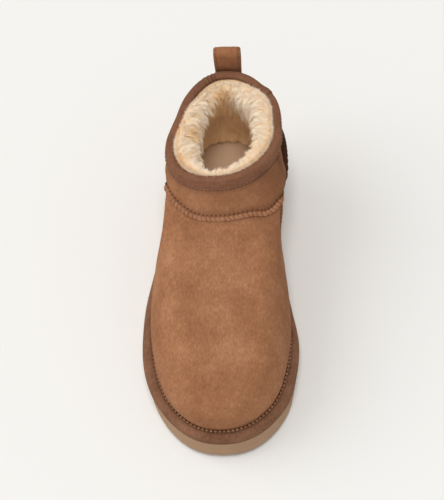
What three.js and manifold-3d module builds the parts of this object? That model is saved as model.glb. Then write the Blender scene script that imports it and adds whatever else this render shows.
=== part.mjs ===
// Sheepskin ankle boot for the right foot, standing empty on its sole.
// Millimetres, +Z up, toe towards -Y, heel towards +Y, the big-toe side at +X.
import * as THREE from "three";
import { mergeVertices } from "three/addons/utils/BufferGeometryUtils.js";
import Module from "manifold-3d";

const wasm = await Module();
wasm.setup();

// Sizes of the shoe as a whole
const LENGTH = 268;
const BALL_WIDTH = 117;
const FRONT_HEIGHT = 108;
const BACK_HEIGHT = 120;
const SHAFT_WIDTH = 87;

// Sizes of the sole unit and its band
const SOLE_HEIGHT = 18;
const PLATEAU_HEIGHT = 6;
const TOE_SPRING = 5;
const TOE_FLARE = 2.6;
const ARCH_LIFT = 2.5;
const HEEL_BEVEL = 2.5;
const SIDE_STEP = 1.1;
const GROOVE_DEPTH = 2.4;
const GROOVE_WIDTH = 4;
const GROOVE_PITCH = 16;
const BAND_HEIGHT = 9.5;

// Sizes of the sewn pieces
const WALL = 2.4;
const INSOLE_THICKNESS = 6;
const PILE = 18;
const LOCK_LENGTH = 9;
const LOCK_RADIUS = 4.2;
const BINDING_THICKNESS = 1.7;
const BINDING_DEPTH = 7;
const SEAM_WIDTH = 4.6;
const SEAM_RISE = 2.3;
const COUNTER_THICKNESS = 1.7;
const COUNTER_RIB_WIDTH = 5;
const COUNTER_RIB_RISE = 2.4;
const LOOP_WIDTH = 20;
const LOOP_RISE = 20;
const LOOP_ROOT = 15;
const LOOP_GAP = 5.6;
const TAPE = 1.7;

// Clearance between neighbours
const GAP = 0.3;

// Points around a ring, points around the cavity in the fleece, and the levels at which the wall has a ring
const AROUND = 44;
const CAVITY_AROUND = 28;
const BINDING_FOOT = 1 - BINDING_DEPTH / (FRONT_HEIGHT - SOLE_HEIGHT - PLATEAU_HEIGHT - GAP);
const LEVELS = [0, 0.08, 0.13, 0.19, 0.26, 0.33, 0.4, 0.48, 0.57, 0.66, 0.75, 0.83, BINDING_FOOT, 1];

// Half widths of the sole's plan along its length, as shares of the ball width
const PLAN = [
  { at: 0.0, inner: 0.62, outer: 0.59 },
  { at: 0.1, inner: 0.625, outer: 0.6 },
  { at: 0.2, inner: 0.582, outer: 0.582 },
  { at: 0.3, inner: 0.535, outer: 0.555 },
  { at: 0.4, inner: 0.475, outer: 0.525 },
  { at: 0.5, inner: 0.43, outer: 0.485 },
  { at: 0.6, inner: 0.41, outer: 0.455 },
  { at: 0.7, inner: 0.43, outer: 0.45 },
  { at: 0.8, inner: 0.49, outer: 0.49 },
  { at: 0.9, inner: 0.58, outer: 0.575 },
  { at: 1.0, inner: 0.63, outer: 0.62 },
];

// Half widths of the shaft from front to back and the sideways lean of its middle, as shares of
// the shaft's width
const SHAFT = [
  { at: 0.0, half: 0.53, lean: -0.06 },
  { at: 0.25, half: 0.5, lean: 0.0 },
  { at: 0.5, half: 0.466, lean: 0.045 },
  { at: 0.8, half: 0.43, lean: 0.075 },
  { at: 1.0, half: 0.4, lean: 0.058 },
];

// Rings of the upper from feather line to collar. Ends are shares of half the length, rises are
// shares of the wall's height at that end, foot is a share of the plan's width, inner and outer are
// shares of the shaft's half widths, shaft says how far the ring has gone over from foot to shaft,
// and heel is the share by which it is fuller round the heel.
const RINGS = [
  { level: 0.0, front: -0.935, frontRise: 0.0, back: 0.94, backRise: 0.0,
    foot: 0.875, inner: 1.1, outer: 1.18, shaft: 0.0, heel: 0 },
  { level: 0.08, front: -0.935, frontRise: 0.085, back: 0.94, backRise: 0.075,
    foot: 0.875, inner: 1.1, outer: 1.18, shaft: 0.0, heel: 0 },
  { level: 0.12, front: -0.948, frontRise: 0.15, back: 0.952, backRise: 0.12,
    foot: 0.895, inner: 1.12, outer: 1.19, shaft: 0.06, heel: 0.03 },
  { level: 0.2, front: -0.94, frontRise: 0.28, back: 0.96, backRise: 0.21,
    foot: 0.898, inner: 1.14, outer: 1.2, shaft: 0.2, heel: 0.08 },
  { level: 0.28, front: -0.9, frontRise: 0.39, back: 0.962, backRise: 0.29,
    foot: 0.885, inner: 1.15, outer: 1.2, shaft: 0.38, heel: 0.1 },
  { level: 0.36, front: -0.82, frontRise: 0.475, back: 0.96, backRise: 0.37,
    foot: 0.865, inner: 1.15, outer: 1.16, shaft: 0.55, heel: 0.14 },
  { level: 0.44, front: -0.68, frontRise: 0.545, back: 0.957, backRise: 0.45,
    foot: 0.845, inner: 1.14, outer: 1.13, shaft: 0.7, heel: 0.16 },
  { level: 0.53, front: -0.48, frontRise: 0.613, back: 0.953, backRise: 0.54,
    foot: 0.825, inner: 1.12, outer: 1.11, shaft: 0.83, heel: 0.15 },
  { level: 0.62, front: -0.25, frontRise: 0.675, back: 0.948, backRise: 0.63,
    foot: 0.81, inner: 1.09, outer: 1.09, shaft: 0.93, heel: 0.13 },
  { level: 0.71, front: -0.035, frontRise: 0.733, back: 0.942, backRise: 0.715,
    foot: 0.8, inner: 1.06, outer: 1.05, shaft: 1.0, heel: 0.09 },
  { level: 0.8, front: 0.13, frontRise: 0.8, back: 0.936, backRise: 0.8,
    foot: 0.8, inner: 1.03, outer: 1.02, shaft: 1.0, heel: 0.04 },
  { level: 0.9, front: 0.222, frontRise: 0.89, back: 0.93, backRise: 0.9,
    foot: 0.8, inner: 1.0, outer: 1.0, shaft: 1.0, heel: 0 },
  { level: 1.0, front: 0.262, frontRise: 1.0, back: 0.924, backRise: 1.0,
    foot: 0.8, inner: 0.985, outer: 0.985, shaft: 1.0, heel: 0 },
];

// Where the fuller heel sets in on each side, as shares of a ring's length, and its share there
const HEEL = {
  inner: { from: 0.46, to: 0.8, share: 1 },
  outer: { from: 0.6, to: 0.84, share: 0.6 },
};

// The seam over the instep on one side: way round a ring, and level on the wall
const SEAM_PATH = [
  { way: 0.0, level: 0.785 },
  { way: 0.08, level: 0.785 },
  { way: 0.13, level: 0.765 },
  { way: 0.18, level: 0.715 },
  { way: 0.25, level: 0.58 },
  { way: 0.319, level: 0.425 },
];

// The counter's front edge on one side, from the band up to the seam's end
const COUNTER_EDGE = [
  { level: 0.06, way: 0.293 },
  { level: 0.2, way: 0.308 },
  { level: 0.32, way: 0.322 },
  { level: 0.425, way: 0.327 },
];

// The counter's top edge from the seam's end round to the back
const COUNTER_TOP = [
  { way: 0.327, level: 0.425 },
  { way: 0.36, level: 0.47 },
  { way: 0.42, level: 0.55 },
  { way: 0.5, level: 0.59 },
];

// Depth of the fleece up the wall, as a share of the full pile
const FLEECE = [
  { level: 0.0, depth: 0.26 },
  { level: 0.25, depth: 0.32 },
  { level: 0.5, depth: 0.55 },
  { level: 0.75, depth: 0.85 },
  { level: 1.0, depth: 1.0 },
];

// Depth of the fleece round the wall, as a factor: pressed thin over the instep
const FLEECE_ROUND = [
  { way: 0.0, depth: 0.62 },
  { way: 0.1, depth: 0.8 },
  { way: 0.25, depth: 0.94 },
  { way: 0.5, depth: 0.86 },
  { way: 0.75, depth: 1.06 },
  { way: 0.88, depth: 1.1 },
  { way: 1.0, depth: 0.62 },
];

// The pile's roll over the collar: way across it, and rise as a share of the full pile
const FLEECE_ROLL = [
  { across: 0.12, rise: 0.13 },
  { across: 0.4, rise: 0.2 },
  { across: 0.75, rise: 0.16 },
];

// A table's column at a place along its key, smooth through the rows without overshoot
function read(table, key, column, at) {
  const last = table.length - 1;
  const place = Math.min(Math.max(at, table[0][key]), table[last][key]);
  let i = 0;
  while (i < last - 1 && place > table[i + 1][key]) {
    i += 1;
  }
  const slope = (k) => {
    if (k < 0 || k >= last) {
      return 0;
    }
    return (table[k + 1][column] - table[k][column]) / (table[k + 1][key] - table[k][key]);
  };
  const tangent = (k) => {
    const before = slope(k - 1);
    const after = slope(k);
    if (k === 0) {
      return after;
    }
    if (k === last) {
      return before;
    }
    return before * after <= 0 ? 0 : (2 * before * after) / (before + after);
  };
  const span = table[i + 1][key] - table[i][key];
  const t = (place - table[i][key]) / span;
  const a = table[i][column];
  const b = table[i + 1][column];
  const t2 = t * t;
  const t3 = t2 * t;
  return (
    a * (2 * t3 - 3 * t2 + 1) +
    b * (3 * t2 - 2 * t3) +
    span * (tangent(i) * (t3 - 2 * t2 + t) + tangent(i + 1) * (t3 - t2))
  );
}

function mix(a, b, share) {
  return a + (b - a) * share;
}

function ease(from, to, value) {
  const t = Math.min(Math.max((value - from) / (to - from), 0), 1);
  return t * t * (3 - 2 * t);
}

// Lift of the sole's top at the toe, and lift of its underside: toe spring, arch and heel bevel
function springAt(y) {
  const share = Math.max(0, (-0.26 * LENGTH - y) / (0.24 * LENGTH));
  return TOE_SPRING * share * share;
}

function floorLift(y) {
  const rising = ease(-0.08 * LENGTH, 0.05 * LENGTH, y);
  const falling = 1 - ease(0.1 * LENGTH, 0.2 * LENGTH, y);
  const bevel = Math.max(0, (y - 0.43 * LENGTH) / (0.07 * LENGTH));
  return springAt(y) + ARCH_LIFT * rising * falling + HEEL_BEVEL * bevel * bevel;
}

// How far the foot of the sole's wall stands out past its top, round the toe
function toeFlare(way) {
  return TOE_FLARE * (1 - ease(0.05, 0.19, Math.min(way, 1 - way)));
}

// Way round a ring: 0 at the front, 0.25 at the inner side, 0.5 at the back, 0.75 at the outer side
function turnOf(way) {
  const wrapped = way - Math.floor(way);
  const inner = wrapped <= 0.5;
  return {
    angle: 2 * Math.PI * (inner ? wrapped : 1 - wrapped),
    side: inner ? 1 : -1,
    column: inner ? "inner" : "outer",
  };
}

// Rounding of a ring's ends: a blunt nose in front, a rounder one at the back
function roundness(angle) {
  const bluntness = mix(0.88, 0.94, (1 - Math.cos(angle)) / 2);
  return Math.pow(Math.max(Math.sin(angle), 0), bluntness);
}

// The plan of the foot between two ends, its width a share of the sole's
function footPlan(way, front, back, share) {
  const { angle, side, column } = turnOf(way);
  const y = mix(front, back, (1 - Math.cos(angle)) / 2);
  const half = read(PLAN, "at", column, y / LENGTH + 0.5) * BALL_WIDTH * share;
  return { x: side * half * roundness(angle), y };
}

// The plan of the sole, moved out along its own normal
function solePlan(way, outwards) {
  const step = 0.002;
  const at = (w) => footPlan(w, -LENGTH / 2, LENGTH / 2, 1);
  const here = at(way);
  const before = at(way - step);
  const after = at(way + step);
  const dx = after.x - before.x;
  const dy = after.y - before.y;
  const size = Math.hypot(dx, dy);
  return { x: here.x + (outwards * dy) / size, y: here.y - (outwards * dx) / size };
}

// Height of the feather line, where the upper stands on the sole
const FEATHER = SOLE_HEIGHT + PLATEAU_HEIGHT + GAP;

// The upper's outer face at a level of the wall and a way round it
function upperFace(level, way) {
  const row = (column) => read(RINGS, "level", column, level);
  const { angle, side, column } = turnOf(way);
  const along = (1 - Math.cos(angle)) / 2;
  const half = LENGTH / 2;
  const shaft = row("shaft");
  const foot = footPlan(way, row("front") * half, row("back") * half, row("foot"));
  const girth = read(SHAFT, "at", "half", along) * SHAFT_WIDTH;
  const ankle = side * row(column) * girth * roundness(angle);
  const lean = ease(0.3, 1, level) * read(SHAFT, "at", "lean", along) * SHAFT_WIDTH;
  const heel = HEEL[column];
  const fullness = 1 + row("heel") * heel.share * ease(heel.from, heel.to, along);
  const x = mix(foot.x, ankle, shaft) * fullness + lean;
  const front = row("frontRise") * (FRONT_HEIGHT - FEATHER);
  const back = row("backRise") * (BACK_HEIGHT - FEATHER);
  const spring = springAt(foot.y) * (1 - ease(0, 0.6, level));
  return new THREE.Vector3(x, foot.y, FEATHER + mix(front, back, along) + spring);
}

// The outward normal of that face, level near the feather line and at the collar's edge
function upperNormal(level, way) {
  const low = Math.max(level - 0.01, 0);
  const high = Math.min(level + 0.01, 1);
  const up = upperFace(high, way).sub(upperFace(low, way));
  const round = upperFace(level, way + 0.004).sub(upperFace(level, way - 0.004));
  const normal = round.cross(up).normalize();
  normal.z *= ease(0.02, 0.2, level) * (1 - ease(0.86, 1, level));
  return normal.normalize();
}

// A point off the upper's outer face, and the same point measured down from the collar's edge
function offUpper(level, way, distance) {
  return upperFace(level, way).addScaledVector(upperNormal(level, way), distance);
}

function offCollar(drop, way, distance) {
  const level = 1 - Math.max(drop, 0) / (FRONT_HEIGHT - FEATHER);
  const point = offUpper(level, way, distance);
  point.z += Math.max(-drop, 0);
  return point;
}

// Ways round a ring and evenly spaced shares
function waysRound(count) {
  return Array.from({ length: count }, (_, i) => i / count);
}

function shares(count, from, to) {
  return Array.from({ length: count }, (_, i) => mix(from, to, i / (count - 1)));
}

// A closed skin over a row of closed loops. The row closes on itself, or its two end loops are
// capped by ladders of faces; a loop with an apex has a single point at its start.
function skin(loops, { closed = false, apex = false } = {}) {
  const count = loops[0].length;
  const rows = loops.length;
  const positions = loops.flat().flatMap((p) => [p.x, p.y, p.z]);
  const faces = [];
  const quad = (a, b, c, d) => faces.push(a, b, c, a, c, d);
  const at = (row, i) => (row % rows) * count + (i % count);
  for (let row = 0; row < (closed ? rows : rows - 1); row += 1) {
    for (let i = 0; i < count; i += 1) {
      quad(at(row, i), at(row, i + 1), at(row + 1, i + 1), at(row + 1, i));
    }
  }
  const first = apex ? 0 : 1;
  const cap = (row, flip) => {
    for (let low = 0; low < count / 2; low += 1) {
      const high = count - low - first;
      const steps = [at(row, low), at(row, low + 1), at(row, high - 1), at(row, high)];
      if (low + 1 > high - 1) {
        break;
      }
      const ladder = flip ? steps.reverse() : steps;
      const corners = ladder.filter((v, i) => v !== ladder[(i + 1) % 4]);
      if (corners.length === 4) {
        quad(...corners);
      } else {
        faces.push(...corners);
      }
    }
  };
  if (!closed) {
    cap(0, true);
    cap(rows - 1, false);
  }
  const geometry = new THREE.BufferGeometry();
  geometry.setAttribute("position", new THREE.Float32BufferAttribute(positions, 3));
  geometry.setIndex(faces);
  return volumeOf(geometry) < 0 ? turnedOut(geometry) : geometry;
}

function volumeOf(geometry) {
  const p = geometry.getAttribute("position");
  const index = geometry.getIndex();
  const [a, b, c] = [new THREE.Vector3(), new THREE.Vector3(), new THREE.Vector3()];
  let total = 0;
  for (let i = 0; i < index.count; i += 3) {
    a.fromBufferAttribute(p, index.getX(i));
    b.fromBufferAttribute(p, index.getX(i + 1));
    c.fromBufferAttribute(p, index.getX(i + 2));
    total += a.dot(b.cross(c)) / 6;
  }
  return total;
}

function turnedOut(geometry) {
  geometry.setIndex(Array.from(geometry.getIndex().array).reverse());
  return geometry;
}

// Between closed geometry and solids that can be joined and cut
function solid(geometry) {
  const plain = geometry.clone();
  plain.deleteAttribute("normal");
  plain.deleteAttribute("uv");
  const merged = mergeVertices(plain, 1e-4);
  return new wasm.Manifold(
    new wasm.Mesh({
      numProp: 3,
      vertProperties: new Float32Array(merged.getAttribute("position").array),
      triVerts: new Uint32Array(merged.getIndex().array),
    }),
  );
}

function geometryOf(body) {
  const mesh = body.getMesh();
  const geometry = new THREE.BufferGeometry();
  geometry.setAttribute("position", new THREE.BufferAttribute(mesh.vertProperties, 3));
  geometry.setIndex(new THREE.BufferAttribute(mesh.triVerts, 1));
  return geometry;
}

// The tan sole unit: a stepped side wall, a raised plateau inside the band, and tread channels
function outsole() {
  const ring = (outwards, height) =>
    waysRound(AROUND).map((way) => {
      const share = height / SOLE_HEIGHT;
      const { x, y } = solePlan(way, outwards + toeFlare(way) * (1 - share));
      return new THREE.Vector3(x, y, height + mix(floorLift(y), springAt(y), share));
    });
  const inside = (height) =>
    waysRound(AROUND).map((way) => {
      const point = upperFace(0, way);
      return point.setZ(height + springAt(point.y));
    });
  const body = skin(
    [
      ring(-3, 0),
      ring(-0.8, 1.4),
      ring(0, 4.5),
      ring(-0.1, 0.5 * SOLE_HEIGHT),
      ring(-SIDE_STEP, 0.56 * SOLE_HEIGHT),
      ring(-SIDE_STEP - 0.2, SOLE_HEIGHT - 1),
      ring(-SIDE_STEP - 1, SOLE_HEIGHT),
      inside(SOLE_HEIGHT),
      inside(SOLE_HEIGHT + PLATEAU_HEIGHT),
    ],
    { apex: true },
  );
  return geometryOf(solid(body).subtract(treadChannels()));
}

// Wavy channels across the underside, spaced evenly either side of the arch
function treadChannels() {
  const reach = 0.62 * BALL_WIDTH;
  const wave = (x) => 0.16 * GROOVE_PITCH * Math.cos((4 * Math.PI * x) / BALL_WIDTH);
  const count = Math.floor((0.44 * LENGTH) / GROOVE_PITCH);
  let channels = null;
  for (let i = -count; i <= count; i += 1) {
    const y = i * GROOVE_PITCH;
    const loops = shares(9, -reach, reach).map((x) => {
      const middle = y + wave(x);
      const roof = floorLift(y) + GROOVE_DEPTH;
      const half = GROOVE_WIDTH / 2;
      return [
        new THREE.Vector3(x, middle - half, -GROOVE_DEPTH),
        new THREE.Vector3(x, middle + half, -GROOVE_DEPTH),
        new THREE.Vector3(x, middle + 0.6 * half, roof),
        new THREE.Vector3(x, middle - 0.6 * half, roof),
      ];
    });
    const channel = solid(skin(loops));
    channels = channels ? channels.add(channel) : channel;
  }
  return channels;
}

// The rolled band round the sole: shares of the way from feather line to sole edge, and heights
function soleBand() {
  const section = [
    { out: 0.0, up: 0.0 },
    { out: 0.0, up: 0.88 },
    { out: 0.16, up: 0.99 },
    { out: 0.42, up: 1.0 },
    { out: 0.7, up: 0.92 },
    { out: 0.92, up: 0.72 },
    { out: 1.0, up: 0.42 },
    { out: 0.96, up: 0.0 },
  ];
  const loops = section.map(({ out, up }) =>
    waysRound(AROUND).map((way) => {
      const near = upperFace(0, way);
      const { x, y } = solePlan(way, -0.6);
      const away = new THREE.Vector3(x - near.x, y - near.y, 0);
      const reach = away.length();
      const point = near.addScaledVector(away.normalize(), mix(GAP, reach, out));
      return point.setZ(SOLE_HEIGHT + GAP + up * BAND_HEIGHT + springAt(point.y));
    }),
  );
  return skin(loops, { closed: true });
}

// A ring of points at one level, a depth inside the upper's face
function ringOff(level, depth) {
  return waysRound(AROUND).map((way) => offUpper(level, way, -depth(level, way)));
}

// What lies on the upper is cut back to a clearance off its outer face
function clearOfUpper(geometry) {
  const grown = LEVELS.map((level) => ringOff(level, () => -GAP));
  return geometryOf(solid(geometry).subtract(solid(skin(grown, { apex: true }))));
}

// The suede upper: one hollow wall, open at the collar and where the sole closes it
function upper() {
  const outer = LEVELS.map((level) => ringOff(level, () => 0));
  const inner = LEVELS.map((level) => ringOff(level, () => WALL));
  return skin([...outer, ...inner.reverse()], { closed: true });
}

// The insole, inside the foot of the upper
function insole() {
  const ring = (inset, height) =>
    waysRound(AROUND).map((way) => {
      const point = offUpper(0, way, -WALL - GAP - inset);
      return point.setZ(FEATHER + height + springAt(point.y));
    });
  const loops = [ring(0.6, 0), ring(0, 0.8), ring(0, INSOLE_THICKNESS - 1), ring(1, INSOLE_THICKNESS)];
  return skin(loops, { apex: true });
}

// Depth from the upper's face to the fleece's back, and to its pile
function fleeceBack(level) {
  return WALL + GAP + (BINDING_THICKNESS + GAP) * ease(0.84, 0.885, level);
}

function fleeceFront(level, way) {
  const ripple = 1 + 0.05 * Math.sin(2 * Math.PI * 7 * way) + 0.04 * Math.sin(2 * Math.PI * 11 * way);
  const round = mix(1, read(FLEECE_ROUND, "way", "depth", way - Math.floor(way)), level);
  return WALL + GAP + PILE * read(FLEECE, "level", "depth", level) * round * ripple;
}

// The fleece: a thick lining whose pile rolls over at the collar, with locks grown on it
function fleeceLining() {
  const [, foot, ...above] = LEVELS;
  const outer = [foot, ...above].map((level) => ringOff(level, fleeceBack));
  const roll = FLEECE_ROLL.map(({ across, rise }) =>
    waysRound(AROUND).map((way) => {
      const depth = mix(fleeceBack(1), fleeceFront(1, way), across);
      return offCollar(-rise * PILE, way, -depth);
    }),
  );
  const cavity = [foot, ...above.filter((_, i) => i % 2)].map((level) =>
    waysRound(CAVITY_AROUND).map((way) => offUpper(level, way, -fleeceFront(level, way))),
  );
  const raised = (ring, height) => ring.map((p) => p.clone().setZ(p.z + height));
  const hollow = [raised(cavity[0], -PILE), ...cavity, raised(cavity[cavity.length - 1], PILE)];
  let body = solid(skin([...outer, ...roll].reverse(), { apex: true }));
  body = body.subtract(solid(skin(hollow, { apex: true })));
  for (const lock of fleeceLocks()) {
    body = body.add(lock);
  }
  return geometryOf(body);
}

// Locks of wool round the opening: leaning cones in staggered rows, each rooted in the pile
function fleeceLocks() {
  const rows = [
    { level: 0.98, count: 15, lift: 0.5, size: 1.05 },
    { level: 0.85, count: 12, lift: 0.1, size: 1.2 },
    { level: 0.7, count: 8, lift: -0.1, size: 1.25 },
  ];
  const locks = [];
  rows.forEach((row, r) => {
    for (let i = 0; i < row.count; i += 1) {
      const way = (i + 0.5 * (r % 2) + 0.22 * Math.sin(5.1 * i + 2.3 * r)) / row.count;
      const length = LOCK_LENGTH * row.size * (1 + 0.25 * Math.sin(3.7 * i + r));
      const root = offUpper(row.level, way, -fleeceFront(row.level, way) + 0.45 * LOCK_LENGTH);
      const inward = upperNormal(row.level, way).negate();
      const sideways = new THREE.Vector3(-inward.y, inward.x, 0).normalize();
      const sway = 0.25 * Math.sin(2.9 * i + 1.7 * r);
      const heading = inward.addScaledVector(sideways, sway);
      heading.z += row.lift;
      locks.push(lock(root, heading.normalize(), length, LOCK_RADIUS * row.size));
    }
  });
  return locks;
}

// One lock: a tapering five-sided body that droops towards its tip
function lock(root, heading, length, radius) {
  const across = new THREE.Vector3(0, 0, 1).cross(heading).normalize();
  const over = heading.clone().cross(across).normalize();
  const stations = [
    { along: 0, size: 1.0, droop: 0 },
    { along: 0.5, size: 0.72, droop: 0.02 },
    { along: 1.0, size: 0.16, droop: 0.16 },
  ];
  const loops = stations.map(({ along, size, droop }) =>
    waysRound(5).map((way) => {
      const angle = 2 * Math.PI * way;
      const point = root.clone().addScaledVector(heading, along * length);
      point.addScaledVector(across, Math.cos(angle) * radius * size);
      point.addScaledVector(over, Math.sin(angle) * radius * size);
      point.z -= droop * length;
      return point;
    }),
  );
  return solid(skin(loops, { apex: true }));
}

// The binding: a folded tape over the collar's edge
function collarBinding() {
  const out = GAP + BINDING_THICKNESS;
  const section = [
    { drop: -GAP, off: GAP },
    { drop: -GAP, off: -WALL - GAP },
    { drop: BINDING_DEPTH, off: -WALL - GAP },
    { drop: BINDING_DEPTH, off: -WALL - out },
    { drop: 0, off: -WALL - out },
    { drop: -0.75 * out, off: -WALL - 0.5 * out },
    { drop: -out, off: -0.5 * WALL },
    { drop: -0.75 * out, off: 0.5 * out },
    { drop: 0, off: out },
    { drop: 0.4 * BINDING_DEPTH, off: out + 0.15 },
    { drop: BINDING_DEPTH, off: out },
    { drop: BINDING_DEPTH, off: GAP },
  ];
  const loops = section.map(({ drop, off }) =>
    waysRound(AROUND).map((way) => offCollar(drop, way, off)),
  );
  return skin(loops, { closed: true });
}

// The raised seam over the instep, from the counter's edge on one side to the other
function instepSeam() {
  const end = SEAM_PATH[SEAM_PATH.length - 1].way;
  const section = [
    { across: -0.46, off: -0.5 * WALL },
    { across: -0.46, off: 0.25 * SEAM_RISE },
    { across: -0.3, off: 0.85 * SEAM_RISE },
    { across: 0, off: SEAM_RISE },
    { across: 0.3, off: 0.85 * SEAM_RISE },
    { across: 0.46, off: 0.25 * SEAM_RISE },
    { across: 0.46, off: -0.5 * WALL },
  ];
  const centre = (t) => ({ way: t, level: read(SEAM_PATH, "way", "level", Math.abs(t)) });
  const loops = shares(27, -end, end).map((t) => {
    const here = centre(t);
    const before = upperFace(centre(t - 0.004).level, t - 0.004);
    const after = upperFace(centre(t + 0.004).level, t + 0.004);
    const along = after.sub(before).normalize();
    const normal = upperNormal(here.level, here.way);
    const across = normal.clone().cross(along).normalize();
    return section.map((row) =>
      upperFace(here.level, here.way)
        .addScaledVector(across, row.across * SEAM_WIDTH)
        .addScaledVector(normal, row.off),
    );
  });
  return clearOfUpper(skin(loops));
}

// The heel counter: a panel off the upper's face, with a rib along its top edge
function heelCounter() {
  const columns = shares(19, 0, 1);
  const rises = [0, 0.25, 0.5, 0.75];
  const rib = COUNTER_RIB_WIDTH / (FRONT_HEIGHT - FEATHER);
  const loops = columns.map((share) => {
    const place = (rise) => {
      const top = mix(COUNTER_TOP[0].way, 1 - COUNTER_TOP[0].way, share);
      const fold = top > 0.5 ? 1 - top : top;
      const crest = read(COUNTER_TOP, "way", "level", fold);
      const level = mix(COUNTER_EDGE[0].level, crest - rib, rise);
      const edge = read(COUNTER_EDGE, "level", "way", level);
      return { level, way: mix(edge, 1 - edge, share), crest };
    };
    const thick = GAP + COUNTER_THICKNESS;
    const proud = thick + COUNTER_RIB_RISE;
    const face = [...rises, 1].map((rise) => {
      const { level, way } = place(rise);
      return offUpper(level, way, thick);
    });
    const { crest, way } = place(1);
    const ribs = [
      offUpper(crest - 0.92 * rib, way, proud - 0.5),
      offUpper(crest - 0.5 * rib, way, proud),
      offUpper(crest - 0.08 * rib, way, proud - 0.5),
    ];
    const seat = [
      offUpper(crest - 0.08 * rib, way, -GAP),
      offUpper(crest - 0.5 * rib, way, -GAP),
      offUpper(crest - 0.92 * rib, way, -GAP),
    ];
    const lining = [1, ...[...rises].reverse()].map((rise) => {
      const { level, way: round } = place(rise);
      return offUpper(level, round, -GAP);
    });
    return [...face, ...ribs, ...seat, ...lining];
  });
  return clearOfUpper(skin(loops));
}

// The pull loop: a tape folded over itself, sewn outside the back of the collar
function pullLoop() {
  const lean = upperFace(1, 0.5).x;
  const start = offCollar(0, 0.5, 2 * GAP + BINDING_THICKNESS + 0.7).y;
  const root = BACK_HEIGHT - LOOP_ROOT;
  const top = BACK_HEIGHT + LOOP_RISE;
  const bow = LOOP_GAP / 2;
  const middle = start + TAPE + bow;
  const line = [];
  line.push({ y: start + TAPE / 2, z: root });
  line.push({ y: start + TAPE / 2, z: BACK_HEIGHT - 2 });
  line.push({ y: start + TAPE / 2, z: top - bow - TAPE });
  for (const share of shares(7, 0, 1)) {
    const angle = Math.PI * (1 - share);
    const radius = bow + TAPE / 2;
    line.push({ y: middle + radius * Math.cos(angle), z: top - bow - TAPE + radius * Math.sin(angle) });
  }
  line.push({ y: start + 2 * TAPE + LOOP_GAP - TAPE / 2 - 0.2, z: BACK_HEIGHT + 6 });
  line.push({ y: start + 1.75 * TAPE + GAP, z: BACK_HEIGHT - 5 });
  line.push({ y: start + 1.5 * TAPE + GAP, z: root });
  const loops = line.map((here, i) => {
    const before = line[Math.max(i - 1, 0)];
    const after = line[Math.min(i + 1, line.length - 1)];
    const dy = after.y - before.y;
    const dz = after.z - before.z;
    const size = Math.hypot(dy, dz);
    const corner = (x, side) =>
      new THREE.Vector3(
        lean + x * LOOP_WIDTH,
        here.y - (side * TAPE * dz) / (2 * size),
        here.z + (side * TAPE * dy) / (2 * size),
      );
    return [corner(-0.5, 1), corner(0, 1), corner(0.5, 1), corner(0.5, -1), corner(0, -1), corner(-0.5, -1)];
  });
  return skin(loops);
}

// Finishes, and the assembly
const FINISHES = {
  outsole: { color: 0xa68463, roughness: 0.7 },
  sole_band: { color: 0x6f4a35, roughness: 0.95 },
  upper: { color: 0xa06c48, roughness: 0.95 },
  insole: { color: 0xa08a72, roughness: 0.9 },
  fleece_lining: { color: 0xe2cba4, roughness: 1.0 },
  collar_binding: { color: 0x80583f, roughness: 0.95 },
  instep_seam: { color: 0x93603f, roughness: 0.95 },
  heel_counter: { color: 0x8a5a3b, roughness: 0.95 },
  pull_loop: { color: 0x93603f, roughness: 0.95 },
};

const PIECES = {
  outsole: outsole(),
  sole_band: soleBand(),
  upper: upper(),
  insole: insole(),
  fleece_lining: fleeceLining(),
  collar_binding: collarBinding(),
  instep_seam: instepSeam(),
  heel_counter: heelCounter(),
  pull_loop: pullLoop(),
};

const boot = new THREE.Group();
boot.name = "sheepskin_boot";
for (const [name, geometry] of Object.entries(PIECES)) {
  geometry.computeVertexNormals();
  const material = new THREE.MeshStandardMaterial({ ...FINISHES[name], metalness: 0 });
  const mesh = new THREE.Mesh(geometry, material);
  mesh.name = name;
  boot.add(mesh);
}

// The frame's origin is below the middle of the whole, on the floor
const extent = new THREE.Box3().setFromObject(boot);
const middle = extent.getCenter(new THREE.Vector3());
boot.position.set(-middle.x, -middle.y, -extent.min.z);

export default boot;
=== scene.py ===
"""A low sheepskin boot for the right foot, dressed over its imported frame.

Lengths are in millimetres on the shoe's own last, +Z up, the toe towards -Y and the
big-toe side at +X. They turn into metres of the frame where a mesh is written.
"""

import logging
import math
from collections.abc import Callable, Sequence
from dataclasses import dataclass, field
from enum import Enum

import bpy
import numpy as np
from mathutils import Matrix, Vector


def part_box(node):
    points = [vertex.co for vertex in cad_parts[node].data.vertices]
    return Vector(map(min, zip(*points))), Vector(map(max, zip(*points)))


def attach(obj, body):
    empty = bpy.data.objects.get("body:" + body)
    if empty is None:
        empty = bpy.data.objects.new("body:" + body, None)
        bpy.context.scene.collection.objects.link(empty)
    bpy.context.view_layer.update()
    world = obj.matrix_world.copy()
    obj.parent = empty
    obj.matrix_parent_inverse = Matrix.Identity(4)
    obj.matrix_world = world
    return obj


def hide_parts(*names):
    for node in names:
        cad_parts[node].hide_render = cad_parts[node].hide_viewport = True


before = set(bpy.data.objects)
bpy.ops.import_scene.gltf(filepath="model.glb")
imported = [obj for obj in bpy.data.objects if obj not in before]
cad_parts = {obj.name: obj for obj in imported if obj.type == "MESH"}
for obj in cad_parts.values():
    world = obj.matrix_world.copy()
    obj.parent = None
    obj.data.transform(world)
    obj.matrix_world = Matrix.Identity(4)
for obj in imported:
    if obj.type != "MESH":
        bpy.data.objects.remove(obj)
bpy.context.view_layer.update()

LOG = logging.getLogger("boot")
MM = 0.001
BODY = "root"
Array = np.ndarray
Colour = tuple[float, float, float]


def ease(low: float, high: float, value: Array) -> Array:
    """Smooth step from 0 at low to 1 at high."""
    t = np.clip((np.asarray(value, float) - low) / (high - low), 0.0, 1.0)
    return t * t * (3.0 - 2.0 * t)


def mix(a: Array, b: Array, share: Array) -> Array:
    """Straight mix of two values."""
    return a + (b - a) * share


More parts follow.
